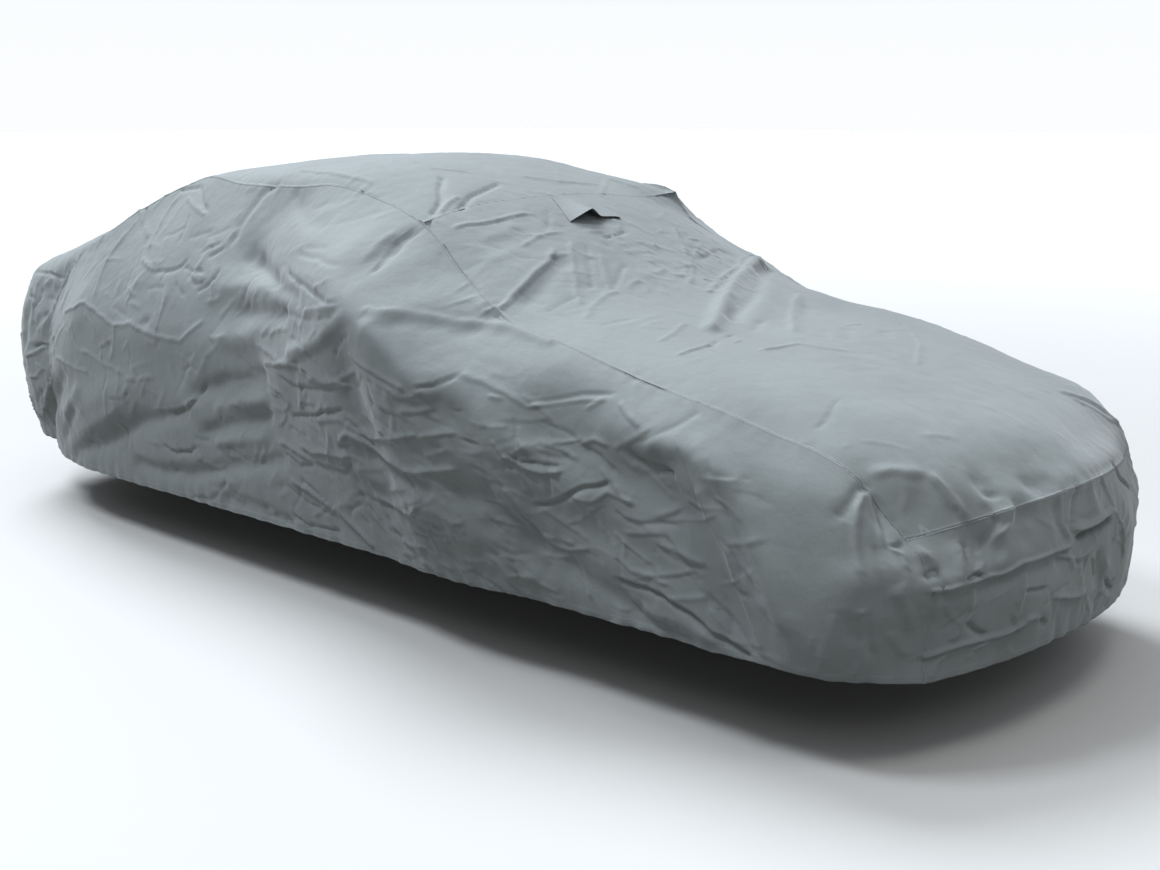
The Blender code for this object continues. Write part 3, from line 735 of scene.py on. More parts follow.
# %% The right side: crumples behind the tent
BEHIND_TENT = creases_on(
    "right",
    (7, 4.5, 2.5, (-165, 84), (-157, 83), (-145, 82)),
    (8, 6, 3.5, (-158, 79), (-140, 81), (-126, 82), (-119, 80)),
    (7, -4.5, 3.5, (-146, 77), (-137, 75), (-124, 76), (-110, 78)),
    (7, 4.5, 3.5, (-158, 72), (-148, 71), (-143, 68), (-148, 65), (-155, 65)),
    (6, -3, 3.5, (-162, 64), (-156, 62)),
    (7, -6, 5, (-143, 64), (-127, 67), (-108, 72)),
    (6, 3, 2.5, (-132, 70), (-124, 71)),
    (7, 3, 2.5, (-131, 65), (-120, 66), (-110, 68), (-106, 69)),
    (8, 6, 3.5, (-154, 53), (-146, 52), (-134, 50)),
    (7, -6, 3.5, (-151, 50), (-142, 47), (-134, 49)),
    (8, 6, 5, (-140, 54), (-132, 53), (-118, 55), (-107, 57)),
    (7, -4.5, 5, (-132, 50), (-114, 50), (-108, 55)),
    (6, 3, 2.5, (-126, 59), (-117, 56)),
    (10, 10.5, 5, (-111, 61), (-107, 64), (-93, 60), (-74, 58), (-58, 61)),
    (9, -7, 2.5, (-113, 59), (-105, 61)),
    (22, 7, 2, (-109, 53), (-101, 51), (-91, 49)),
    (8, 8.5, 7, (-148, 41), (-136, 38), (-124, 35), (-107, 26)),
    (7, -6, 3.5, (-142, 42), (-132, 38), (-122, 35)),
    (7, -4.5, 3.5, (-150, 39), (-140, 35), (-126, 33)),
    (6, -6, 5, (-149, 29), (-141, 27), (-124, 28)),
    (8, 7, 3.5, (-100, 45), (-92, 44), (-79, 44), (-74, 48)),
    (6, 3, 2.5, (-85, 47), (-73, 50)),
    (6, -4.5, 2.5, (-117, 37), (-109, 41)),
    (8, 6, 3.5, (-108, 67), (-98, 64), (-74, 69), (-57, 72)),
    (8, -6, 5, (-219, 54), (-207, 57), (-197, 67)),
    (6, -3, 2.5, (-221, 40), (-214, 40), (-206, 42)),
    (6, 3, 3.5, (-200, 38), (-192, 37), (-188, 39)),
    (7, -4.5, 3.5, (-209, 24), (-198, 25), (-187, 33)),
)

# %% The right side: the rear quarter
REAR_QUARTER = creases_on(
    "right",
    (8, 4.5, 3.5, (-304, 81), (-283, 87), (-258, 81), (-246, 83), (-227, 80), (-211, 80), (-200, 88)),
    (8, 3, 2.5, (-282, 69), (-267, 66), (-249, 64)),
    (7, 3, 2.5, (-230, 53), (-212, 56), (-199, 62)),
    (6, 3, 1, (-258, 52), (-246, 56)),
    (22, -6, 3, (-192, 135), (-200, 130), (-203, 120), (-202, 112)),
    (12, 5, 2.5, (-279, 119), (-281, 111), (-283, 106), (-282, 98), (-278, 89)),
    (9, 5, 2.5, (-259, 128), (-260, 120), (-258, 113), (-255, 108)),
    (8, 5, 3.5, (-256, 105), (-248, 103), (-242, 102)),
    (8, -5, 3.5, (-242, 102), (-233, 103), (-226, 105), (-224, 108)),
    (8, -6.5, 3.5, (-246, 132), (-235, 126), (-229, 124)),
    (8, -5, 3.5, (-261, 130), (-253, 131), (-246, 132)),
    (7, 4, 2.5, (-251, 127), (-237, 124), (-229, 122)),
    (7, -5, 3.5, (-218, 110), (-215, 112), (-209, 114)),
    (8, -5, 3.5, (-212, 109), (-206, 112), (-205, 114)),
    (8, 5, 3.5, (-204, 112), (-205, 116), (-204, 119)),
    (7, -5, 3.5, (-224, 105), (-217, 104), (-209, 104)),
    (7, -5, 3.5, (-219, 103), (-212, 100), (-206, 101)),
    (7, -6.5, 3.5, (-209, 98), (-204, 100), (-201, 103), (-201, 106)),
    (7, 4, 2.5, (-266, 67), (-267, 72), (-258, 76)),
    (8, 4, 2.5, (-307, 63), (-287, 61), (-276, 61)),
    (8, 4, 2.5, (-247, 62), (-239, 63), (-229, 65)),
    (7, -5, 3.5, (-258, 54), (-252, 54), (-245, 58)),
    (7, -5, 3.5, (-210, 70), (-204, 73)),
    (8, -6.5, 3.5, (-226, 41), (-219, 39), (-208, 41), (-203, 44)),
    (8, 5, 2.5, (-237, 41), (-227, 40)),
    (30, -13, 0, (-300, 24), (-271, 34), (-255, 41), (-236, 48), (-205, 56)),
    (30, 7, 0, (-292, 34), (-270, 43), (-250, 51)),
    (28, -10, 0, (-287, 48), (-295, 40), (-309, 29)),
    (24, 4, 0, (-266, 94), (-261, 96)),
    (24, 4, 0, (-230, 93), (-225, 95)),
    (22, -4, 0, (-240, 85), (-232, 84)),
    (22, 3, 0, (-255, 99), (-244, 97)),
    (24, -5, 0, (-265, 75), (-258, 71)),
)

# %% The right side: long folds, and the hollow with the bright edge
LONG_FOLDS = creases_on(
    "right",
    (75, 29, 0, (-60, 80), (-46, 71), (-35, 64), (-21, 60), (-6, 61)),
    (50, -12, 0, (-68, 58), (-55, 54), (-38, 43), (-30, 35)),
    (24, 8, 3, (-54, 50), (-48, 48), (-39, 42)),
    (30, -8, 0, (-58, 38), (-41, 38), (-27, 34)),
    (6, 4.5, 3.5, (-43, 58), (-36, 50), (-31, 44), (-24, 43), (-16, 45)),
    (8, 9, 5, (-46, 72), (-42, 68), (-36, 66), (-28, 65), (-23, 66)),
    (7, -7, 5, (-41, 69), (-36, 67), (-24, 67)),
    (7, 4.5, 5, (-39, 76), (-37, 72), (-34, 69)),
    (9, 4.5, 2.5, (-48, 65), (-43, 59), (-40, 55)),
    (8, -8.5, 7, (-34, 55), (-27, 57), (-20, 61), (-9, 65)),
    (7, 4.5, 3.5, (-20, 60), (-13, 59), (-9, 62), (-1, 60)),
    (8, 7, 3.5, (-8, 64), (-4, 61), (-1, 60)),
    (8, -4.5, 3.5, (-7, 58), (-3, 56), (12, 57)),
    (12, -9, 3.5, (-19, 73), (-13, 71), (-7, 67)),
    (8, 6, 2.5, (-20, 73), (-15, 75), (-10, 74)),
    (8, 4.5, 3.5, (-8, 49), (-6, 45), (-1, 42), (6, 42)),
    (8, 3, 2.5, (-1, 40), (9, 43), (18, 46)),
    (8, -4.5, 3.5, (9, 54), (13, 50), (20, 43)),
    (8, 3, 2.5, (-4, 52), (9, 54)),
    (8, 3, 2.5, (-32, 54), (-23, 50), (-16, 47)),
    (9, -10.5, 8.5, (-7, 39), (9, 38), (18, 35), (24, 31), (35, 27)),
    (22, 10, 0, (0, 32), (10, 32), (27, 29)),
    (28, -9, 0, (-28, 40), (-14, 34), (10, 29), (22, 28)),
    (30, 10, 8, (-1, 74), (5, 76), (15, 75), (23, 71), (30, 66), (34, 59), (39, 51), (42, 42),
     (45, 34)),
    (22, -10, 0, (20, 68), (28, 62), (32, 55), (38, 41)),
    (10, 8.5, 0, (18, 68), (22, 60), (28, 53), (32, 42), (38, 29)),
    (10, -9, 3.5, (21, 41), (29, 35), (37, 28)),
    (12, -9, 3.5, (-5, 75), (-1, 72), (9, 70), (2, 68)),
    (8, 4.5, 2.5, (-11, 85), (-6, 82), (-1, 80)),
    (34, -12, 0, (-68, 85), (-57, 76), (-47, 68)),
    (36, -13, 0, (-75, 69), (-64, 58), (-50, 54), (-39, 46), (-30, 41)),
    (28, 8, 0, (-73, 76), (-58, 66), (-45, 59), (-35, 51)),
    (30, -9, 0, (-107, 61), (-82, 57), (-65, 54)),
    (26, 6, 0, (-48, 76), (-39, 72), (-25, 69)),
    (7, 4, 2.5, (-123, 79), (-112, 79), (-98, 85)),
    (8, 4, 2.5, (-20, 82), (-15, 85)),
    (10, -5, 2.5, (-4, 73), (2, 70), (10, 70)),
    (8, 4, 3.5, (-81, 107), (-81, 108), (-82, 110)),
    (7, 4, 3.5, (-77, 106), (-72, 104), (-68, 102)),
    (7, -5, 3.5, (-69, 102), (-68, 103), (-64, 102)),
    (8, 5, 3.5, (-79, 109), (-72, 105), (-62, 101)),
)

# %% The right side: the knee at the front corner, and the foot under it
KNEE = creases_on(
    "right knee",  # y and z, because the knee faces forwards
    (9, -11, 6, (-64, 70), (-68, 69), (-72, 67), (-76, 64)),
    (8, 9, 6, (-66, 70), (-71, 67), (-74, 63), (-76, 58), (-78, 52)),
    (16, -15, 0, (-64, 69), (-65, 64), (-68, 60), (-69, 58)),
    (24, -11, 0, (-65, 68), (-67, 64), (-69, 60)),
    (9, 8, 4, (-64, 70), (-66, 65), (-70, 59)),
    (9, -9, 5, (-69, 58), (-66, 58), (-63, 58)),
    (9, 9, 4, (-69, 58), (-67, 56), (-68, 52)),
    (8, -7, 3, (-71, 59), (-72, 55), (-72, 53)),
    (26, 11, 0, (-81, 49), (-78, 52), (-73, 54), (-70, 53), (-67, 50)),
    (44, -15, 0, (-79, 46), (-74, 49), (-69, 48)),
)
FRONT_FOOT = creases_on(
    "right",
    (8, 6.5, 3.5, (62, 45), (62, 36), (61, 31), (59, 26)),
    (8, -7, 3.5, (63, 44), (63, 36), (63, 31)),
    (8, 5, 2.5, (65, 38), (66, 34), (67, 30)),
    (9, 6, 2.5, (68, 51), (68, 43), (68, 37)),
    (20, -8, 0, (59, 45), (60, 39), (61, 34)),
)

# %% The roof, the sloping front and the bonnet
ON_TOP = creases_on(
    "top",
    (8, 3, 3.5, (-79, 8), (-66, -1), (-59, -2)),
    (8, 4.5, 3.5, (-86, 34), (-73, 24), (-61, 13), (-50, -4)),
    (8, 3, 3.5, (-79, 41), (-67, 20), (-53, 10)),
    (9, 4.5, 3.5, (-102, -55), (-100, -41), (-100, -23)),
    (8, 3, 2.5, (-108, 21), (-125, 45), (-115, 50)),
    (10, -9, 5, (-112, -56), (-117, -47), (-133, -32)),
    (10, -9, 5, (-110, -46), (-115, -36), (-122, -16)),
    (9, 6, 3.5, (-111, -52), (-115, -43), (-116, -39)),
    (9, 4.5, 2.5, (-127, 0), (-120, 13), (-118, 32)),
    (9, 4.5, 2.5, (-170, -27), (-141, -29), (-132, -19)),
    (8, 3, 2.5, (-190, -47), (-159, -53), (-142, -54)),
    (8, -3, 2.5, (36, -61), (35, -53), (32, -44)),
    (40, 12, 3, (57, -63), (61, -57), (65, -49), (72, -41), (76, -32), (79, -21), (82, -7), (79, 20),
     (66, 71)),
    (95, 16, 0, (56, -60), (66, -42), (73, -24), (76, -4), (76, 16)),
    (11, 8, 5, (53, -62), (56, -57), (61, -51)),
    (36, -13, 0, (57, -63), (62, -57), (68, -53)),
    (9, 7, 4, (61, -50), (66, -50), (71, -47)),
    (22, -10, 0, (66, -42), (70, -38), (75, -35)),
    (20, -8, 0, (74, -28), (77, -23), (79, -15)),
    (9, 6, 5, (56, 38), (60, 48), (66, 55), (63, 72)),
    (8, 3, 3.5, (59, 40), (66, 50), (67, 57)),
    (9, 4.5, 3.5, (2, 42), (19, 21), (30, -1)),
    (9, 4.5, 2.5, (0, -34), (3, -19), (15, -11)),
    (24, 20, 0, (-79, 80), (-67, 56), (-55, 34), (-42, 9), (-32, -9), (-18, -34)),
    (28, -13, 0, (-73, 76), (-35, 12), (-28, -5), (-22, -19)),
    (16, 9, 2.5, (-34, 37), (-26, 21), (-19, 9), (-5, -10)),
    (20, -5, 0, (-25, 27), (-16, 11)),
    (22, -5, 0, (-1, 13), (9, -3)),
    (22, -5, 0, (4, 25), (12, 14)),
    (20, -4, 0, (-3, 4), (4, -8)),
    (8, 3, 2.5, (-2, 13), (-2, 17), (-2, 23)),
    (18, -6.5, 0, (-13, -20), (-17, -11), (-18, -6)),
    (8, -5, 3.5, (-11, -46), (-11, -42), (-13, -37)),
    (8, -4, 3.5, (-13, -33), (-14, -28)),
    (8, 4, 2.5, (-8, -35), (-9, -30)),
    (9, 4, 3.5, (-44, -0.0), (-48, 10), (-57, 28), (-63, 42), (-87, 85)),
    (10, 8, 5, (-66, -71), (-69, -58), (-75, -40), (-80, -32)),
    (34, -9, 0, (-63, -68), (-66, -54), (-72, -40), (-77, -31)),
    (8, 5, 3.5, (-83, -22), (-72, -33), (-63, -42), (-54, -49)),
    (8, -4, 3.5, (-79, -18), (-71, -26), (-61, -35)),
    (8, 5, 3.5, (-74, -18), (-62, -29), (-56, -32)),
    (8, -5, 3.5, (-67, -13), (-60, -25), (-56, -32)),
    (8, 4, 2.5, (-85, -42), (-88, -31), (-88, -21)),
    (7, -6.5, 3.5, (-82, -7), (-83, 1), (-85, 7)),
    (8, 4, 2.5, (-86, -10), (-85, -4), (-84, -4)),
    (12, -6.5, 2.5, (-61, -39), (-62, -34)),
    (8, 4, 2.5, (-46, -55), (-51, -48), (-55, -35), (-55, -30)),
    (8, 4, 3.5, (-21, -52), (-24, -41), (-27, -32)),
    (8, 5, 3.5, (-11, -57), (-11, -47), (-11, -41)),
    (26, 4, 0, (-93, -53), (-94, -43), (-96, -31)),
    (26, 4, 0, (-86, -59), (-84, -52), (-85, -41)),
    (8, 4, 2.5, (-58, -1), (-57, 5), (-63, 14), (-61, 17)),
    (8, 4, 2.5, (-61, -8), (-60, -6), (-62, 0)),
    (8, -4, 2.5, (-72, 36), (-76, 48), (-74, 51)),
    (8, -5, 2.5, (-67, 25), (-72, 37)),
    (8, 4, 2.5, (-55, -26), (-58, -19), (-55, -17)),
    (8, 4, 2.5, (-47, 5), (-56, 24), (-63, 41)),
    (10, 6.5, 5, (61, -51), (66, -49), (69, -48), (71, -47)),
    (36, -6, 0, (59, -57), (64, -54), (67, -53)),
    (9, 5, 3.5, (69, -42), (71, -42), (73, -41)),
    (26, -7, 0, (71, -37), (73, -38)),
    (26, 6, 0, (53, -63), (56, -59), (59, -54), (61, -49)),
    (22, -5, 0, (75, -29), (76, -23), (77, -19)),
    (9, 4, 2.5, (59, -57), (61, -60)),
    (7, 2.5, 1, (55, -41), (57, -37), (60, -33)),
    (7, 2.5, 1, (45, -62), (45, -59)),
)

# %% The nose
ON_NOSE = creases_on(
    "nose",
    (24, 11, 0, (-61, 58), (-61, 55), (-62, 51)),
    (22, 11, 0, (-52, 58), (-54, 52), (-56, 48)),
    (28, -13, 0, (-44, 61), (-47, 54), (-49, 49)),
    (26, 12, 0, (-35, 65), (-39, 59), (-43, 54)),
    (28, -10, 0, (-29, 65), (-32, 59), (-34, 52)),
    (30, -12, 0, (-64, 45), (-50, 46), (-36, 47.5), (-14, 48)),
    (24, -9, 0, (-20, 64), (-19, 58), (-16, 50)),
    (26, 9, 0, (-4, 65), (-1, 58), (1, 52)),
    (28, -10, 0, (0, 48), (3, 40), (7, 32)),
    (7, 8.5, 6.5, (-64, 47), (-59, 47), (-55, 48), (-50, 48), (-43, 48), (-36, 50), (-26, 50),
     (-15, 50)),
    (7, 8.5, 6.5, (-62, 29), (-56, 31), (-48, 32), (-41, 32), (-35, 33), (-31, 35)),
    (9, 15, 8, (-13, 54), (-3, 54), (10, 55)),
    (8, -13.5, 4.5, (-12, 52), (-3, 53), (9, 53)),
    (7, -6.5, 4.5, (-8, 65), (-12, 59), (-14, 53)),
    (7, 6.5, 4.5, (-18, 64), (-18, 57), (-15, 52)),
    (7, 6.5, 4.5, (12, 54), (17, 48), (21, 39)),
    (7, 6.5, 4.5, (5, 64), (10, 58), (11, 54)),
    (8, 8.5, 4.5, (-35, 48), (-36, 43), (-37, 38), (-38, 35)),
    (8, 8.5, 4.5, (-52, 47), (-52, 41), (-54, 36), (-56, 33)),
    (8, 8.5, 4.5, (-52, 57), (-53, 54), (-56, 50), (-56, 48)),
    (8, -8.5, 4.5, (-49, 57), (-52, 52)),
    (8, -10.5, 4.5, (-41, 62), (-40, 60), (-42, 58), (-46, 55)),
    (8, 8.5, 4.5, (-47, 55), (-48, 52), (-51, 50)),
    (7, -11.5, 4.5, (-55, 49), (-51, 50), (-48, 49)),
    (8, -10.5, 4.5, (-52, 38), (-49, 35), (-45, 33)),
    (9, -10.5, 4.5, (-27, 34), (-23, 31)),
    (7, 6.5, 4.5, (-33, 35), (-28, 34), (-24, 40)),
    (8, 8.5, 4.5, (-34, 64), (-37, 59), (-42, 57)),
    (7, 6.5, 4.5, (-2, 45), (2, 38)),
    (8, 8.5, 4.5, (-22, 38), (-14, 36), (-4, 35)),
    (7, -6.5, 4.5, (-35, 43), (-26, 42)),
    (14, 11.5, 4.5, (-61, 57), (-61, 55), (-60, 52)),
    (8, -10.5, 6.5, (-64, 51), (-62, 51), (-59, 52)),
    (30, -11.5, 0, (-61, 49), (-59, 49)),
    (26, 8, 0, (-37, 57), (-26, 59)),
    (26, -8, 0, (-44, 55), (-40, 53)),
    (7, 6.5, 4.5, (-60, 24), (-58, 28), (-56, 30)),
    (7, 6.5, 4.5, (-50, 27), (-49, 30), (-45, 31)),
    (8, 6.5, 4.5, (-12, 46), (-7, 46), (-4, 47)),
    (8, -8.5, 4.5, (9, 36), (16, 31)),
    (8, 6.5, 4.5, (-21, 49), (-15, 47), (-13, 44)),
    (8, -9, 6.5, (20, 65), (26, 60), (36, 55)),
)

# %% The strip of the back panel beside the rear quarter
REAR_STRIP = creases_on(
    "rear right",
    (8, -8, 5, (-337, 88), (-336, 84), (-340, 79), (-337, 71)),
    (8, -8, 4, (-326, 79), (-330, 76)),
    (8, -9, 5, (-335, 64), (-329, 66), (-323, 66), (-321, 63)),
    (9, 7, 4, (-342, 59), (-329, 63), (-323, 66)),
    (18, 10, 0, (-322, 88), (-324, 79), (-328, 73), (-328, 69)),
    (8, 6, 3, (-339, 51), (-331, 52), (-325, 56), (-332, 58)),
    (8, -7, 4, (-327, 47), (-336, 40), (-334, 36)),
    (10, 8, 4, (-312, 60), (-319, 52), (-327, 43), (-336, 33)),
    (8, -6, 3, (-353, 93), (-337, 94), (-324, 93)),
    (26, -9, 0, (-345, 84), (-346, 72), (-344, 60)),
) + creases_on(
    "right",
    (40, -20, 0, (-295, 59), (-312, 48), (-326, 38), (-331, 29)),
    (32, 9, 0, (-281, 57), (-293, 47), (-304, 38)),
)

# %% [markdown]
# ## The creases that nobody would point at
#
# Between the named creases the cloth is full of small ones that look alike. A zone says how many
# there are, how long and how tall, and which way they run; a seeded generator then draws them, so
# that each run gives the same cover. The left side hangs much as the right one does, so it takes
# the right side's creases too, each moved, tipped and weakened by a seeded amount.

# %% Small creases by zones
Zone = namedtuple("Zone", "name side low high count length angle spread height")
ZONES = [
    Zone("behind the tent", "right", (-2.05, 0.26), (-1.10, 0.95), 110, 0.10, 12, 40, 2.8),
    Zone("over the tent", "right", (-1.90, 0.95), (-1.05, 1.28), 30, 0.10, 10, 30, 1.6),
    Zone("under the tent", "right", (-1.15, 0.28), (-0.40, 0.85), 150, 0.10, -26, 34, 3.2),
    Zone("before the tent", "right", (-0.95, 0.85), (0.30, 1.02), 14, 0.10, -10, 40, 1.2),
    Zone("long folds", "right", (-0.50, 0.25), (0.35, 0.78), 120, 0.10, -28, 40, 3.0),
    Zone("knee", "right", (0.45, 0.25), (0.68, 0.45), 12, 0.09, 80, 40, 1.8),
    Zone("rear quarter", "right", (-3.30, 0.28), (-2.05, 1.25), 130, 0.10, 10, 80, 2.4),
    Zone("rear corner", "right", (-3.70, 0.25), (-3.20, 1.00), 30, 0.10, 70, 40, 2.2),
    Zone("left of the tent", "left", (-3.60, 0.26), (-1.10, 1.20), 210, 0.11, 8, 50, 2.4),
    Zone("right of the tent", "left", (-1.10, 0.26), (0.66, 0.95), 200, 0.11, -22, 50, 2.4),
    Zone("roof", "top", (-2.30, -0.65), (-1.00, 0.65), 36, 0.16, 20, 70, 1.8),
    Zone("sloping front", "top", (-1.02, -0.70), (-0.30, 0.70), 70, 0.12, 60, 50, 2.0),
    Zone("under the flap", "top", (-0.88, -0.20), (-0.50, 0.45), 90, 0.055, 60, 90, 2.6),
    Zone("bonnet", "top", (-0.30, -0.72), (0.60, 0.72), 22, 0.20, 30, 80, 1.0),
    Zone("bonnet foot", "top", (0.40, -0.70), (0.76, 0.70), 30, 0.09, 20, 60, 1.6),
    Zone("rear slope", "top", (-3.70, -0.75), (-2.30, 0.75), 100, 0.15, 70, 60, 3.0),
    Zone("nose", "nose", (-0.70, 0.25), (0.70, 0.66), 100, 0.09, 0, 90, 2.2),
    Zone("tail", "tail", (-0.86, 0.25), (0.86, 1.00), 110, 0.10, 20, 80, 3.4),
    Zone("rear edge, right", "rear right", (-3.62, 0.28), (-3.14, 0.95), 80, 0.07, 75, 70, 4.0),
    Zone("rear edge, left", "rear left", (-3.62, 0.28), (-3.14, 0.95), 80, 0.07, 75, 70, 4.0),
    Zone("knee, left", "left knee", (0.62, 0.30), (0.82, 0.70), 24, 0.09, 110, 40, 3.6),
]
BEND = 0.25  # radians: a small crease turns by this at most at each corner
WANDER = 0.15  # and this much more or less
LENGTHS = (0.4, 1.6)  # as shares of the zone's length
HEIGHTS = (0.5, 1.6)  # as shares of the zone's height
RIDGE_OR_TROUGH = (1, 1, -1)
WIDTHS = (6, 11)  # mm
TILTS = (-0.6, 0.9)  # as shares of the crease's height


def bent_line(draw, start, angle, length):
    """Four points that wander a little off a straight line."""
    turn = math.radians(angle)
    bend = draw.uniform(-BEND, BEND)
    line = [start]
    for _ in range(3):
        turn += bend + draw.uniform(-WANDER, WANDER)
        x, y = line[-1]
        line.append((x + length / 3 * math.cos(turn), y + length / 3 * math.sin(turn)))
    return tuple(line)


def small_creases(zone):
    draw = random.Random(zone.name)
    found = []
    for _ in range(zone.count):
        start = tuple(draw.uniform(low, high) for low, high in zip(zone.low, zone.high))
        length = zone.length * draw.uniform(*LENGTHS)
        line = bent_line(draw, start, zone.angle + draw.uniform(-1, 1) * zone.spread, length)
        height = zone.height * draw.uniform(*HEIGHTS) * draw.choice(RIDGE_OR_TROUGH)
        width = draw.uniform(*WIDTHS)
        found.append(Crease(zone.side, width, height, height * draw.uniform(*TILTS), line))
    return found


print(sum(zone.count for zone in ZONES), "small creases in", len(ZONES), "zones")

# %% The left side
RIGHT_CREASES = STAR + HOLLOWS + BEHIND_TENT + REAR_QUARTER + LONG_FOLDS + FRONT_FOOT
LEFT_SEED = 11
SHIFT_ALONG = 0.10
SHIFT_UP = 0.05
TIP = 0.35  # radians
WEAKEST = 0.5


def left_creases():
    """The right side's creases, each moved and weakened a little, on the left side."""
    draw = random.Random(LEFT_SEED)
    found = []
    for crease in RIGHT_CREASES:
        shift = np.array([draw.uniform(-SHIFT_ALONG, SHIFT_ALONG), draw.uniform(-SHIFT_UP, SHIFT_UP)])
        tip = draw.uniform(-TIP, TIP)
        turn = np.array([[math.cos(tip), -math.sin(tip)], [math.sin(tip), math.cos(tip)]])
        line = np.array(crease.line)
        middle = line.mean(0)
        line = (line - middle) @ turn.T + middle + shift
        share = draw.uniform(WEAKEST, 1.0)
        found.append(crease._replace(side="left", height=crease.height * share,
                                     tilt=crease.tilt * share, line=tuple(map(tuple, line))))
    return found


creases = RIGHT_CREASES + KNEE + ON_TOP + ON_NOSE + REAR_STRIP + left_creases()
print(len(creases), "named creases")
for zone in ZONES:
    creases += small_creases(zone)
print(len(creases), "creases in all")

# %% [markdown]
# ## Gathers along the seams, and the cloth's own unevenness
#
# A sewn seam is a little shorter than the cloth on its two sides, so the cloth puckers: short
# wrinkles stand across the seam, tallest a centimetre away from it and gone by six. A wave along
# the seam, whose length keeps changing, makes them, and a longer wave lets them come and go in
# patches, since even gathers would look like a comb. Three layers of smooth noise add the
# unevenness of cloth that has been folded in a bag: a broad swell, old folds, and small dents that
# lie thick in some patches and thin in others.

# %% Gathers
PUCKER_HEIGHT = 2.4 * MM
PUCKER_REACH = 26 * MM
PUCKER_AT_SEAM = 0.25  # the share of a pucker that is left on the seam itself
PUCKER_RISE = 0.4  # it rises and falls within these shares of its reach
PUCKER_FALL = 0.55
PUCKER_LENGTHS = (0.030, 0.110)
PUCKER_PATCHES = (0.20, 0.70)
PUCKER_MEAN = 0.35  # how strong the puckers are on average, and how much that changes
PUCKER_CHANGE = 0.6
PUCKER_LEAST = 0.05
HEM_HEIGHT = 2.2 * MM
HEM_REACH = 45 * MM
HEM_LENGTHS = (0.05, 0.16)
WAVES = 5


def uneven_wave(run, draw, shortest, longest):
    """A wave from -1 to 1 along a run, built of waves of different lengths."""
    wave = np.zeros_like(run)
    for _ in range(WAVES):
        length = draw.uniform(shortest, longest)
        wave += np.sin(2 * math.pi * run / length + draw.uniform(0, 2 * math.pi))
    return wave / (WAVES / 2)


def gathers():
    draw = random.Random("gathers")
    wave = uneven_wave(seam_run, draw, *PUCKER_LENGTHS)
    strength = PUCKER_MEAN + PUCKER_CHANGE * uneven_wave(seam_run, draw, *PUCKER_PATCHES)
    growth = seam_gap / (PUCKER_RISE * PUCKER_REACH) + PUCKER_AT_SEAM
    decay = np.exp(-seam_gap / (PUCKER_FALL * PUCKER_REACH))
    return PUCKER_HEIGHT * wave * np.clip(strength, PUCKER_LEAST, 1) * (growth * decay)


def hem_wave():
    """The hem pulls the foot of the cloth in and out a little."""
    wave = uneven_wave(hem_run, random.Random("hem"), *HEM_LENGTHS)
    return HEM_HEIGHT * wave * np.exp(-hem_gap / HEM_REACH)


# %% Swell and old folds
Layer = namedtuple("Layer", "size height seed")
SWELL = Layer(0.32, 4.0, 0)
OLD_FOLDS = Layer(0.15, 1.6, 7)
DENTS = Layer(0.045, 1.8, 14)
PATCHES = Layer(0.60, 1.2, 21)  # where the dents lie thick or thin
PATCH_MEAN = 0.5
PATCH_LEAST = 0.1


def noise_of(layer):
    """Smooth noise at every point, whose bumps have the layer's size."""
    shift = Vector((layer.seed, 3, 5))
    return np.array([noise.noise(Vector(point) / layer.size + shift) for point in points.tolist()])


def unevenness():
    patch = np.clip(PATCH_MEAN + PATCHES.height * noise_of(PATCHES), PATCH_LEAST, 1)
    dents = noise_of(DENTS) * patch
    broad = SWELL.height * noise_of(SWELL) + OLD_FOLDS.height * noise_of(OLD_FOLDS)
    return (broad + DENTS.height * dents) * MM


# %% Lift the cloth
lift, slide = lift_by(creases)
lift += gathers() + hem_wave() + unevenness()
creased = points + slide + normals * lift[:, None]
print("lifted by", round(float(lift.min()) / MM, 1), "to", round(float(lift.max()) / MM, 1), "mm")

# %% [markdown]
# ## Panels again, each with two faces and a rim
#
# A cloth without a back looks like paper from below, so each panel becomes a closed shell. The
# outside is the fine creased mesh. The inside needs far fewer faces, so it is the coarse mesh that
# was kept, moved in by the cloth's thickness and by as much more as the creases over it are deep.
# The rim joins five fine steps of the outside to one coarse step of the inside.
#
# Last, a narrow ring is inset along the rim and the edge is lowered by a millimetre, so that a
# seam is a real groove between two panels.

# %% How deep the creases lie under each coarse point
THICKNESS = 2 * MM
DEEPEST = 14 * MM
coarse_points = creased[:coarse_count]
coarse_normals = normals_of(coarse_points, coarse_faces)


def depth_under():
    corner = coarse_points[coarse_faces]
    middle = corner.mean(1)
    across = np.cross(corner[:, 2] - corner[:, 0], corner[:, 3] - corner[:, 1])
    across /= np.linalg.norm(across, axis=1, keepdims=True)
    fine_middle = creased[fine_faces].mean(1)
    below = ((middle[fine_parents] - fine_middle) * across[fine_parents]).sum(1)
    deepest = np.zeros(len(coarse_faces))
    np.maximum.at(deepest, fine_parents, below)
    depth = np.zeros(coarse_count)
    np.maximum.at(depth, coarse_faces.ravel(), np.repeat(deepest, 4))
    return depth


depth = np.clip(depth_under(), 0, DEEPEST) + THICKNESS
edge_points = np.unique(lines)
depth[edge_points[edge_points < coarse_count]] = THICKNESS
inside = coarse_points - coarse_normals * depth[:, None]
print("the inside lies", round(float(depth.mean()) / MM, 1), "mm behind the outside on average")


# %% One closed panel
def open_edges(faces):
    """The directed edges that only one face has: from each point to the next on the border."""
    starts = faces.ravel().tolist()
    ends = np.roll(faces, -1, 1).ravel().tolist()
    directed = set(zip(starts, ends))
    return {a: b for a, b in directed if (b, a) not in directed}


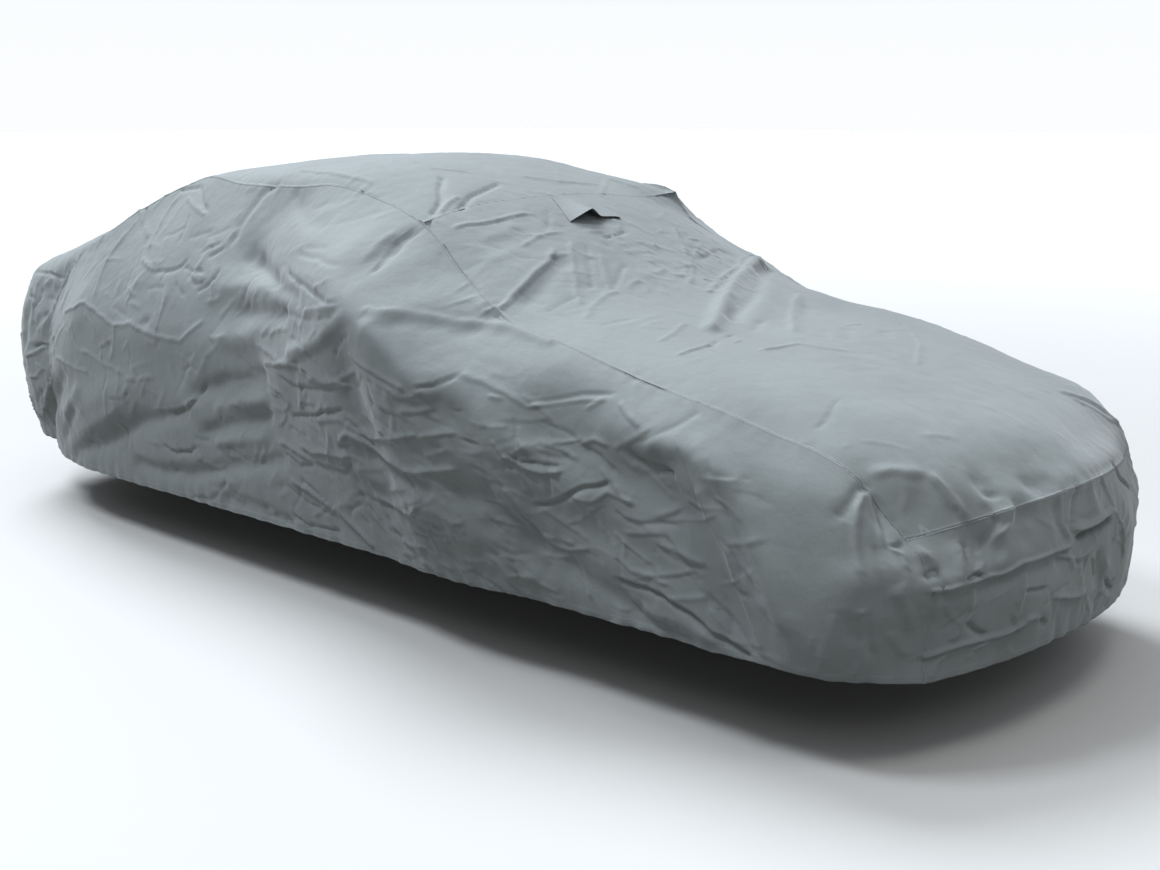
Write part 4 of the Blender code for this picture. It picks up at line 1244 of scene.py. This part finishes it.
def panel_object(number):
    """Outside, inside and rim of one panel as a closed mesh."""
    outer = fine_faces[fine_panels == number]
    inner = coarse_faces[coarse_panels == number]
    after = open_edges(outer)
    outer_points = np.unique(outer)
    inner_points = np.unique(inner)
    new_outer = {old: new for new, old in enumerate(outer_points.tolist())}
    new_inner = {old: new + len(outer_points) for new, old in enumerate(inner_points.tolist())}
    faces = [[new_outer[point] for point in face] for face in outer.tolist()]
    faces += [[new_inner[point] for point in reversed(face)] for face in inner.tolist()]
    for a, b in open_edges(inner).items():
        chain = [a]
        while chain[-1] != b:
            chain.append(after[chain[-1]])
        faces.append([new_outer[point] for point in reversed(chain)]
                     + [new_inner[a], new_inner[b]])
    data = bpy.data.meshes.new(PANELS[number] + "_cloth")
    corners = np.concatenate([creased[outer_points], inside[inner_points]])
    data.from_pydata(corners.tolist(), [], faces)
    data.update()
    panel = bpy.data.objects.new("cover_" + PANELS[number], data)
    bpy.context.scene.collection.objects.link(panel)
    return panel, len(outer)


# %% The groove at a panel's edge
RING = 2.5 * MM
GROOVE = 1.0 * MM


def sink_edge(panel, outer_count):
    mesh = bmesh.new()
    mesh.from_mesh(panel.data)
    mesh.faces.ensure_lookup_table()
    mesh.normal_update()
    outer = mesh.faces[:outer_count]
    border = {vert for face in outer for vert in face.verts
              if any(other.index >= outer_count for other in vert.link_faces)}
    normal = {vert: sum((face.normal for face in vert.link_faces if face.index < outer_count),
                        Vector()) for vert in border}
    bmesh.ops.inset_region(mesh, faces=outer, thickness=RING, use_boundary=True, use_even_offset=True)
    for vert in border:
        vert.co -= normal[vert].normalized() * GROOVE
    for face in mesh.faces:
        face.smooth = True
    mesh.to_mesh(panel.data)
    mesh.free()


def add_lines(panel):
    """The gaps to the seam and the hem, and the runs along them, for the stitches."""
    spots = points_of(panel.data)
    for name, (tree, runs) in CUT_LINES.items():
        for word, values in zip(("gap", "run"), measured(spots, tree, runs)):
            layer = panel.data.attributes.new(name + "_" + word, "FLOAT", "POINT")
            layer.data.foreach_set("value", values)


CUT_LINES = {"seam": line_tree(seam_chains, creased), "hem": line_tree(hem_chains, creased)}
panels = {}
for number, name in enumerate(PANELS):
    panel, outer_count = panel_object(number)
    sink_edge(panel, outer_count)
    add_lines(panel)
    panels[name] = panel
    triangles = sum(len(polygon.vertices) - 2 for polygon in panel.data.polygons)
    print(panel.name, triangles, "triangles")
bpy.data.objects.remove(cloth)

# %% [markdown]
# ## The vent flap
#
# A small hood of the same cloth is sewn on in front of the roof, and its lip stands open to let air
# through. Its frame is a coarse shell, so the outer skin is taken from it as before, rounded twice
# with Subdivision Surface, given its thickness with Solidify, and shaded smooth except at sharp
# turns.

# %% Make the flap
FLAP_THICKNESS = 1.6 * MM
FLAP_ROUNDING = 2
FLAP_EDGE = 50  # degrees: a sharper turn than this stays an edge


def vent_flap():
    flap = outer_skin("vent_flap")
    flap.name = "cover_vent_flap"
    bpy.ops.object.select_all(action="DESELECT")
    flap.select_set(True)
    bpy.context.view_layer.objects.active = flap
    bpy.ops.object.mode_set(mode="EDIT")
    bpy.ops.mesh.select_all(action="SELECT")
    bpy.ops.mesh.tris_convert_to_quads(face_threshold=math.pi, shape_threshold=math.pi,
                                       topology_influence=2.0)
    bpy.ops.object.mode_set(mode="OBJECT")
    rounding = flap.modifiers.new("rounding", "SUBSURF")
    rounding.levels = rounding.render_levels = FLAP_ROUNDING
    rounding.boundary_smooth = "PRESERVE_CORNERS"
    wall = flap.modifiers.new("wall", "SOLIDIFY")
    wall.thickness = FLAP_THICKNESS
    wall.offset = -1
    for modifier in (rounding, wall):
        bpy.ops.object.modifier_apply(modifier=modifier.name)
    bpy.ops.object.shade_smooth_by_angle(angle=math.radians(FLAP_EDGE))
    return flap


flap = vent_flap()
print(flap.name, len(flap.data.polygons), "faces")

# %% [markdown]
# ## The cloth's finish
#
# The cloth is a spun, non-woven fabric: fibres pressed into a matte sheet, with no threads to see.
# Close up it has a fine grain and a soft net of crumples a few centimetres wide; from a step away
# only a slight cloudiness of its blue grey is left. Every panel uses the same grain, so it is a node
# group. It puts out a shade and two heights, and each material sets its own colours.
#
# Seams and hem are sewn with a thread a little lighter than the cloth. The stitches follow the
# run along the seam that each point carries, so they turn every corner with it.

# %% Small helpers for node trees
def new_group(name, inputs, outputs):
    """An empty shader node group with named sockets, which are numbers if they have a value."""
    group = bpy.data.node_groups.new(name, "ShaderNodeTree")
    for label, value in inputs.items():
        kind = "NodeSocketVector" if value is None else "NodeSocketFloat"
        socket = group.interface.new_socket(name=label, in_out="INPUT", socket_type=kind)
        if value is not None:
            socket.default_value = value
    for label in outputs:
        group.interface.new_socket(name=label, in_out="OUTPUT", socket_type="NodeSocketFloat")
    return group, group.nodes.new("NodeGroupInput").outputs, group.nodes.new("NodeGroupOutput").inputs


def add_node(tree, kind, inputs, **settings):
    """A node whose inputs are each given a socket or a value."""
    node = tree.nodes.new("ShaderNode" + kind)
    for name, value in settings.items():
        setattr(node, name, value)
    for name, value in inputs.items():
        if isinstance(value, bpy.types.NodeSocket):
            tree.links.new(value, node.inputs[name])
        else:
            node.inputs[name].default_value = value
    return node


def math_node(tree, operation, *values, clamp=False):
    node = add_node(tree, "Math", dict(enumerate(values)), operation=operation, use_clamp=clamp)
    return node.outputs[0]


def mix_colour(tree, share, first, second):
    node = add_node(tree, "Mix", {"Factor": share, "A": first, "B": second}, data_type="RGBA")
    return node.outputs["Result"]


# %% Group: spun cloth
Grain = namedtuple("Grain", "scale detail roughness")
CRUMPLE = Grain(26.0, 3.0, 0.5)
FIBRE = Grain(900.0, 3.0, 0.7)
CLOUD = Grain(3.5, 5.0, 0.55)
SPECK = Grain(260.0, 2.0, 0.7)
CLOUD_SHARE = 0.6
SHADE_RANGE = (0.36, 0.64)


def grain_node(tree, vector, grain):
    node = add_node(tree, "TexNoise", {"Vector": vector, "Scale": grain.scale, "Detail": grain.detail,
                                       "Roughness": grain.roughness})
    return node.outputs["Fac"]


def spun_cloth_group():
    """Shade, from 0 to 1, and the heights of the crumples and of the grain."""
    group, given, out = new_group("spun_cloth", {"Vector": None}, ("Shade", "Crumple", "Grain"))
    crumple, fibre, cloud, speck = (grain_node(group, given["Vector"], grain)
                                    for grain in (CRUMPLE, FIBRE, CLOUD, SPECK))
    mixed = math_node(group, "ADD", math_node(group, "MULTIPLY", cloud, CLOUD_SHARE),
                      math_node(group, "MULTIPLY", speck, 1 - CLOUD_SHARE))
    shade = add_node(group, "MapRange", {"Value": mixed, "From Min": SHADE_RANGE[0],
                                         "From Max": SHADE_RANGE[1]})
    group.links.new(crumple, out["Crumple"])
    group.links.new(fibre, out["Grain"])
    group.links.new(shade.outputs["Result"], out["Shade"])
    return group


# %% Group: a row of stitches
PITCH = 6 * MM
THREAD_WIDTH = 0.9 * MM
STITCH_END = 0.12  # the share of a pitch that lies between two stitches
END_STEEPNESS = 8.0
THREAD_STEEPNESS = 2.5


def stitch_group():
    """Thread is 1 on a stitch, in a row that runs beside a line, and Height is its round top."""
    group, given, out = new_group("stitch_row", {"Gap": 0.0, "Run": 0.0, "Row": 0.0, "Pitch": PITCH,
                                                 "Thread width": THREAD_WIDTH}, ("Thread", "Height"))
    off = math_node(group, "ABSOLUTE", math_node(group, "SUBTRACT", given["Gap"], given["Row"]))
    off = math_node(group, "DIVIDE", off, given["Thread width"])
    across = math_node(group, "SUBTRACT", 1.0, off, clamp=True)
    turn = math_node(group, "DIVIDE", given["Run"], given["Pitch"])
    there = math_node(group, "SUBTRACT", math_node(group, "PINGPONG", turn, 0.5), STITCH_END)
    along = math_node(group, "MULTIPLY", there, END_STEEPNESS, clamp=True)
    height = math_node(group, "MULTIPLY", across, along)
    group.links.new(height, out["Height"])
    group.links.new(math_node(group, "MULTIPLY", height, THREAD_STEEPNESS, clamp=True), out["Thread"])
    return group


SPUN = spun_cloth_group()
STITCHES = stitch_group()

# %% The cloth material
CLOTH_DARK = (0.068, 0.0755, 0.0745, 1)
CLOTH_LIGHT = (0.085, 0.0945, 0.0932, 1)
CLOTH_FINISH = {"Roughness": 0.78, "Specular IOR Level": 0.25, "Sheen Weight": 0.12,
                "Sheen Roughness": 0.5}
THREAD_COLOUR = (0.105, 0.117, 0.121, 1)
CRUMPLE_HEIGHT = 2.4 * MM
FOLD_HEIGHT = 1.0 * MM
THREAD_HEIGHT = 0.8 * MM
FIBRE_HEIGHT = 0.25 * MM


def new_material(name):
    material = bpy.data.materials.new(name)
    material.use_nodes = True
    return material, material.node_tree, material.node_tree.nodes["Principled BSDF"]


def bump(tree, height, distance, under=None):
    """The normal of a surface with these heights, over the normal under it."""
    inputs = {"Height": height, "Distance": distance}
    if under is not None:
        inputs["Normal"] = under
    return add_node(tree, "Bump", inputs).outputs["Normal"]


def cloth_material(name, sewn):
    """The spun cloth, with stitches along seams and hem where it is sewn."""
    material, tree, shader = new_material(name)
    for label, value in CLOTH_FINISH.items():
        shader.inputs[label].default_value = value
    where = add_node(tree, "TexCoord", {}).outputs["Object"]
    spun = add_node(tree, "Group", {}, node_tree=SPUN)
    tree.links.new(where, spun.inputs["Vector"])
    colour = mix_colour(tree, spun.outputs["Shade"], CLOTH_DARK, CLOTH_LIGHT)
    normal = bump(tree, spun.outputs["Crumple"], CRUMPLE_HEIGHT)
    if sewn:
        thread, height, fold = sewn_rows(tree)
        colour = mix_colour(tree, thread, colour, THREAD_COLOUR)
        normal = bump(tree, fold, FOLD_HEIGHT, normal)
        normal = bump(tree, height, THREAD_HEIGHT, normal)
    normal = bump(tree, spun.outputs["Grain"], FIBRE_HEIGHT, normal)
    tree.links.new(colour, shader.inputs["Base Color"])
    tree.links.new(normal, shader.inputs["Normal"])
    return material


# %% Stitches and the folded hem
Sewn = namedtuple("Sewn", "line rows fold")
SEWN = [  # which line, how far its rows of stitches lie from it, and how wide its folded edge is
    Sewn("seam", (3.5 * MM,), 5 * MM),
    Sewn("hem", (4.0 * MM, 17.0 * MM), 20 * MM),
]
FOLD_EDGE = 2 * MM


def highest(tree, sockets):
    """The largest of several values."""
    top = sockets[0]
    for socket in sockets[1:]:
        top = math_node(tree, "MAXIMUM", top, socket)
    return top


def sewn_rows(tree):
    """Thread mask, stitch height, and the height of the folded edges."""
    threads, heights, folds = [], [], []
    for sewn in SEWN:
        gap, run = (add_node(tree, "Attribute", {}, attribute_name=sewn.line + word).outputs["Fac"]
                    for word in ("_gap", "_run"))
        for row in sewn.rows:
            stitches = add_node(tree, "Group", {}, node_tree=STITCHES)
            tree.links.new(gap, stitches.inputs["Gap"])
            tree.links.new(run, stitches.inputs["Run"])
            stitches.inputs["Row"].default_value = row
            threads.append(stitches.outputs["Thread"])
            heights.append(stitches.outputs["Height"])
        step = add_node(tree, "MapRange", {"Value": gap, "From Min": sewn.fold,
                                           "From Max": sewn.fold + FOLD_EDGE, "To Min": 1.0,
                                           "To Max": 0.0}, interpolation_type="SMOOTHSTEP")
        folds.append(step.outputs["Result"])
    return highest(tree, threads), highest(tree, heights), highest(tree, folds)


COVER_CLOTH = cloth_material("cover_cloth", sewn=True)
FLAP_CLOTH = cloth_material("flap_cloth", sewn=False)
for panel in panels.values():
    panel.data.materials.append(COVER_CLOTH)
flap.data.materials.clear()
flap.data.materials.append(FLAP_CLOTH)
print("materials:", COVER_CLOTH.name, FLAP_CLOTH.name)

# %% [markdown]
# ## Floor and light
#
# Cloth shows its creases by shade alone, so the light has clear directions. A wide, slightly blue
# sun stands high behind the cover and to its left, and makes the top panels bright. The upright
# right side gets its light from one high lamp that only grazes it, which draws each crease, and the
# foot of the bonnet has a small soft lamp of its own. The sky is a gradient: white in a narrow band
# at the horizon, where the floor ends, dim above it and bright overhead. The floor looks white
# because it is lit hard; its own colour is a middle grey, which keeps it from filling every hollow
# with light, and it grows paler far away so that no line shows where it meets the sky.

# %% A floor
FLOOR_SIDE = 240.0
FLOOR_NEAR = (0.24, 0.234, 0.226, 1)
FLOOR_FAR = (0.36, 0.35, 0.34, 1)
FLOOR_CHANGE = (3.0, 11.0)  # metres from the middle between which the floor grows paler
FLOOR_ROUGHNESS = 0.9


def add_floor():
    bpy.ops.object.select_all(action="DESELECT")
    bpy.ops.mesh.primitive_plane_add(size=FLOOR_SIDE, location=(0, 0, -HOLD.z))
    floor = bpy.context.object
    floor.name = "floor"
    material, tree, shader = new_material("pale_floor")
    where = add_node(tree, "TexCoord", {}).outputs["Object"]
    reach = add_node(tree, "VectorMath", {0: where}, operation="LENGTH").outputs["Value"]
    far = add_node(tree, "MapRange", {"Value": reach, "From Min": FLOOR_CHANGE[0],
                                      "From Max": FLOOR_CHANGE[1]}).outputs["Result"]
    tree.links.new(mix_colour(tree, far, FLOOR_NEAR, FLOOR_FAR), shader.inputs["Base Color"])
    shader.inputs["Roughness"].default_value = FLOOR_ROUGHNESS
    floor.data.materials.append(material)
    floor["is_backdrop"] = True


# %% The sky
Stop = namedtuple("Stop", "height brightness")
SKY_STOPS = [
    Stop(0.00, 1.00),
    Stop(0.07, 1.00),
    Stop(0.17, 0.35),
    Stop(0.50, 0.50),
    Stop(0.70, 1.20),
    Stop(1.00, 2.40),
]
SKY_TOP = 2.4  # a ramp holds values up to 1, so they are given as shares of this
HORIZON_BLUE = 0.03  # how much less red than blue the sky is at the horizon
MORE_BLUE = 0.11  # and how much is added up to the height where it is bluest
BLUEST = 0.7


def add_sky():
    world = bpy.data.worlds.new("soft_sky")
    world.use_nodes = True
    tree = world.node_tree
    where = add_node(tree, "TexCoord", {}).outputs["Generated"]
    height = add_node(tree, "SeparateXYZ", {"Vector": where}).outputs["Z"]
    ramp = add_node(tree, "ValToRGB", {"Fac": height})
    stops = ramp.color_ramp.elements
    while len(stops) < len(SKY_STOPS):
        stops.new(0.5)
    for stop, wanted in zip(stops, SKY_STOPS):
        stop.position = wanted.height
        share = wanted.brightness / SKY_TOP
        blue = HORIZON_BLUE + MORE_BLUE * min(wanted.height, BLUEST) / BLUEST
        stop.color = (share * (1 - blue), share * (1 - blue / 2), share, 1)
    back = tree.nodes["Background"]
    tree.links.new(ramp.outputs["Color"], back.inputs["Color"])
    back.inputs["Strength"].default_value = SKY_TOP
    bpy.context.scene.world = world
    bpy.context.scene.view_settings.view_transform = "Standard"


# %% The lamps
OVERHEAD = Vector((-0.75, 0.26, 1.0))  # the way to the light: high, behind and from the left
OVERHEAD_STRENGTH = 7.0
OVERHEAD_SPREAD = 30  # degrees: a wide, soft source
OVERHEAD_PLACE = place(0, 0, 6)  # only its direction counts
BLUISH = (0.86, 0.93, 1.0)
WHITE = (1.0, 1.0, 1.0)
Lamp = namedtuple("Lamp", "name place aim size spread watts colour")
LAMPS = [
    Lamp("right", place(-2.8, -4.2, 8.0), place(-1.0, -0.9, 0.6), 2.0, 180, 910, BLUISH),
    Lamp("front", place(4.2, -4.6, 4.2), place(0.4, -0.6, 0.5), 1.5, 180, 45, WHITE),
    Lamp("foot of the bonnet", place(1.5, -0.9, 2.9), place(0.62, -0.1, 0.7), 0.8, 70, 6.5, WHITE),
]


def turned_to(way):
    """The turn that makes a lamp shine against this way."""
    return way.to_track_quat("Z", "Y").to_euler()


def add_lamps():
    bpy.ops.object.light_add(type="SUN", location=OVERHEAD_PLACE, rotation=turned_to(OVERHEAD))
    overhead = bpy.context.object
    overhead.name = "overhead"
    overhead.data.energy = OVERHEAD_STRENGTH
    overhead.data.angle = math.radians(OVERHEAD_SPREAD)
    overhead.data.color = BLUISH
    for lamp in LAMPS:
        bpy.ops.object.light_add(type="AREA", location=lamp.place,
                                 rotation=turned_to(lamp.place - lamp.aim))
        light = bpy.context.object
        light.name = lamp.name
        light.visible_camera = False
        light.data.size = lamp.size
        light.data.spread = math.radians(lamp.spread)
        light.data.energy = lamp.watts
        light.data.color = lamp.colour


add_floor()
add_sky()
add_lamps()
print("a sky, a wide sun and", len(LAMPS), "lamps")

# %% [markdown]
# ## Each piece in its place
#
# Each new piece rides on the frame's only body, takes the place of its plain panel, and its area is
# printed against the cut of its cloth. The last cell measures the finished cover against the frame.

Cut = namedtuple("Cut", "width length")
CUTS_OF_CLOTH = {
    "roof_panel": Cut(1.30, 1.45),
    "back_panel": Cut(2.20, 2.90),
    "bonnet_panel": Cut(1.55, 2.12),
    "nose_panel": Cut(0.46, 1.40),
    "side_panel_right": Cut(1.35, 4.20),
    "side_panel_left": Cut(1.35, 4.20),
}


def area_of(piece):
    return sum(polygon.area for polygon in piece.data.polygons)


for name, panel in panels.items():
    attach(panel, "root")
    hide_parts(name)
    area = round(area_of(panel) / 2, 2)
    cut = CUTS_OF_CLOTH[name]
    print(name, "area", area, "share of its cut", round(area / (cut.width * cut.length), 2))
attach(flap, "root")
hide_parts("vent_flap")
flap_area = round(area_of(flap) / 2, 3)
print("flap area", flap_area)

# %% Measure and finish
own_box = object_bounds()
for axis, name in enumerate("xyz"):
    print(name, "frame", round(cad_box[1][axis] - cad_box[0][axis], 4),
          "cover", round(own_box[1][axis] - own_box[0][axis], 4))
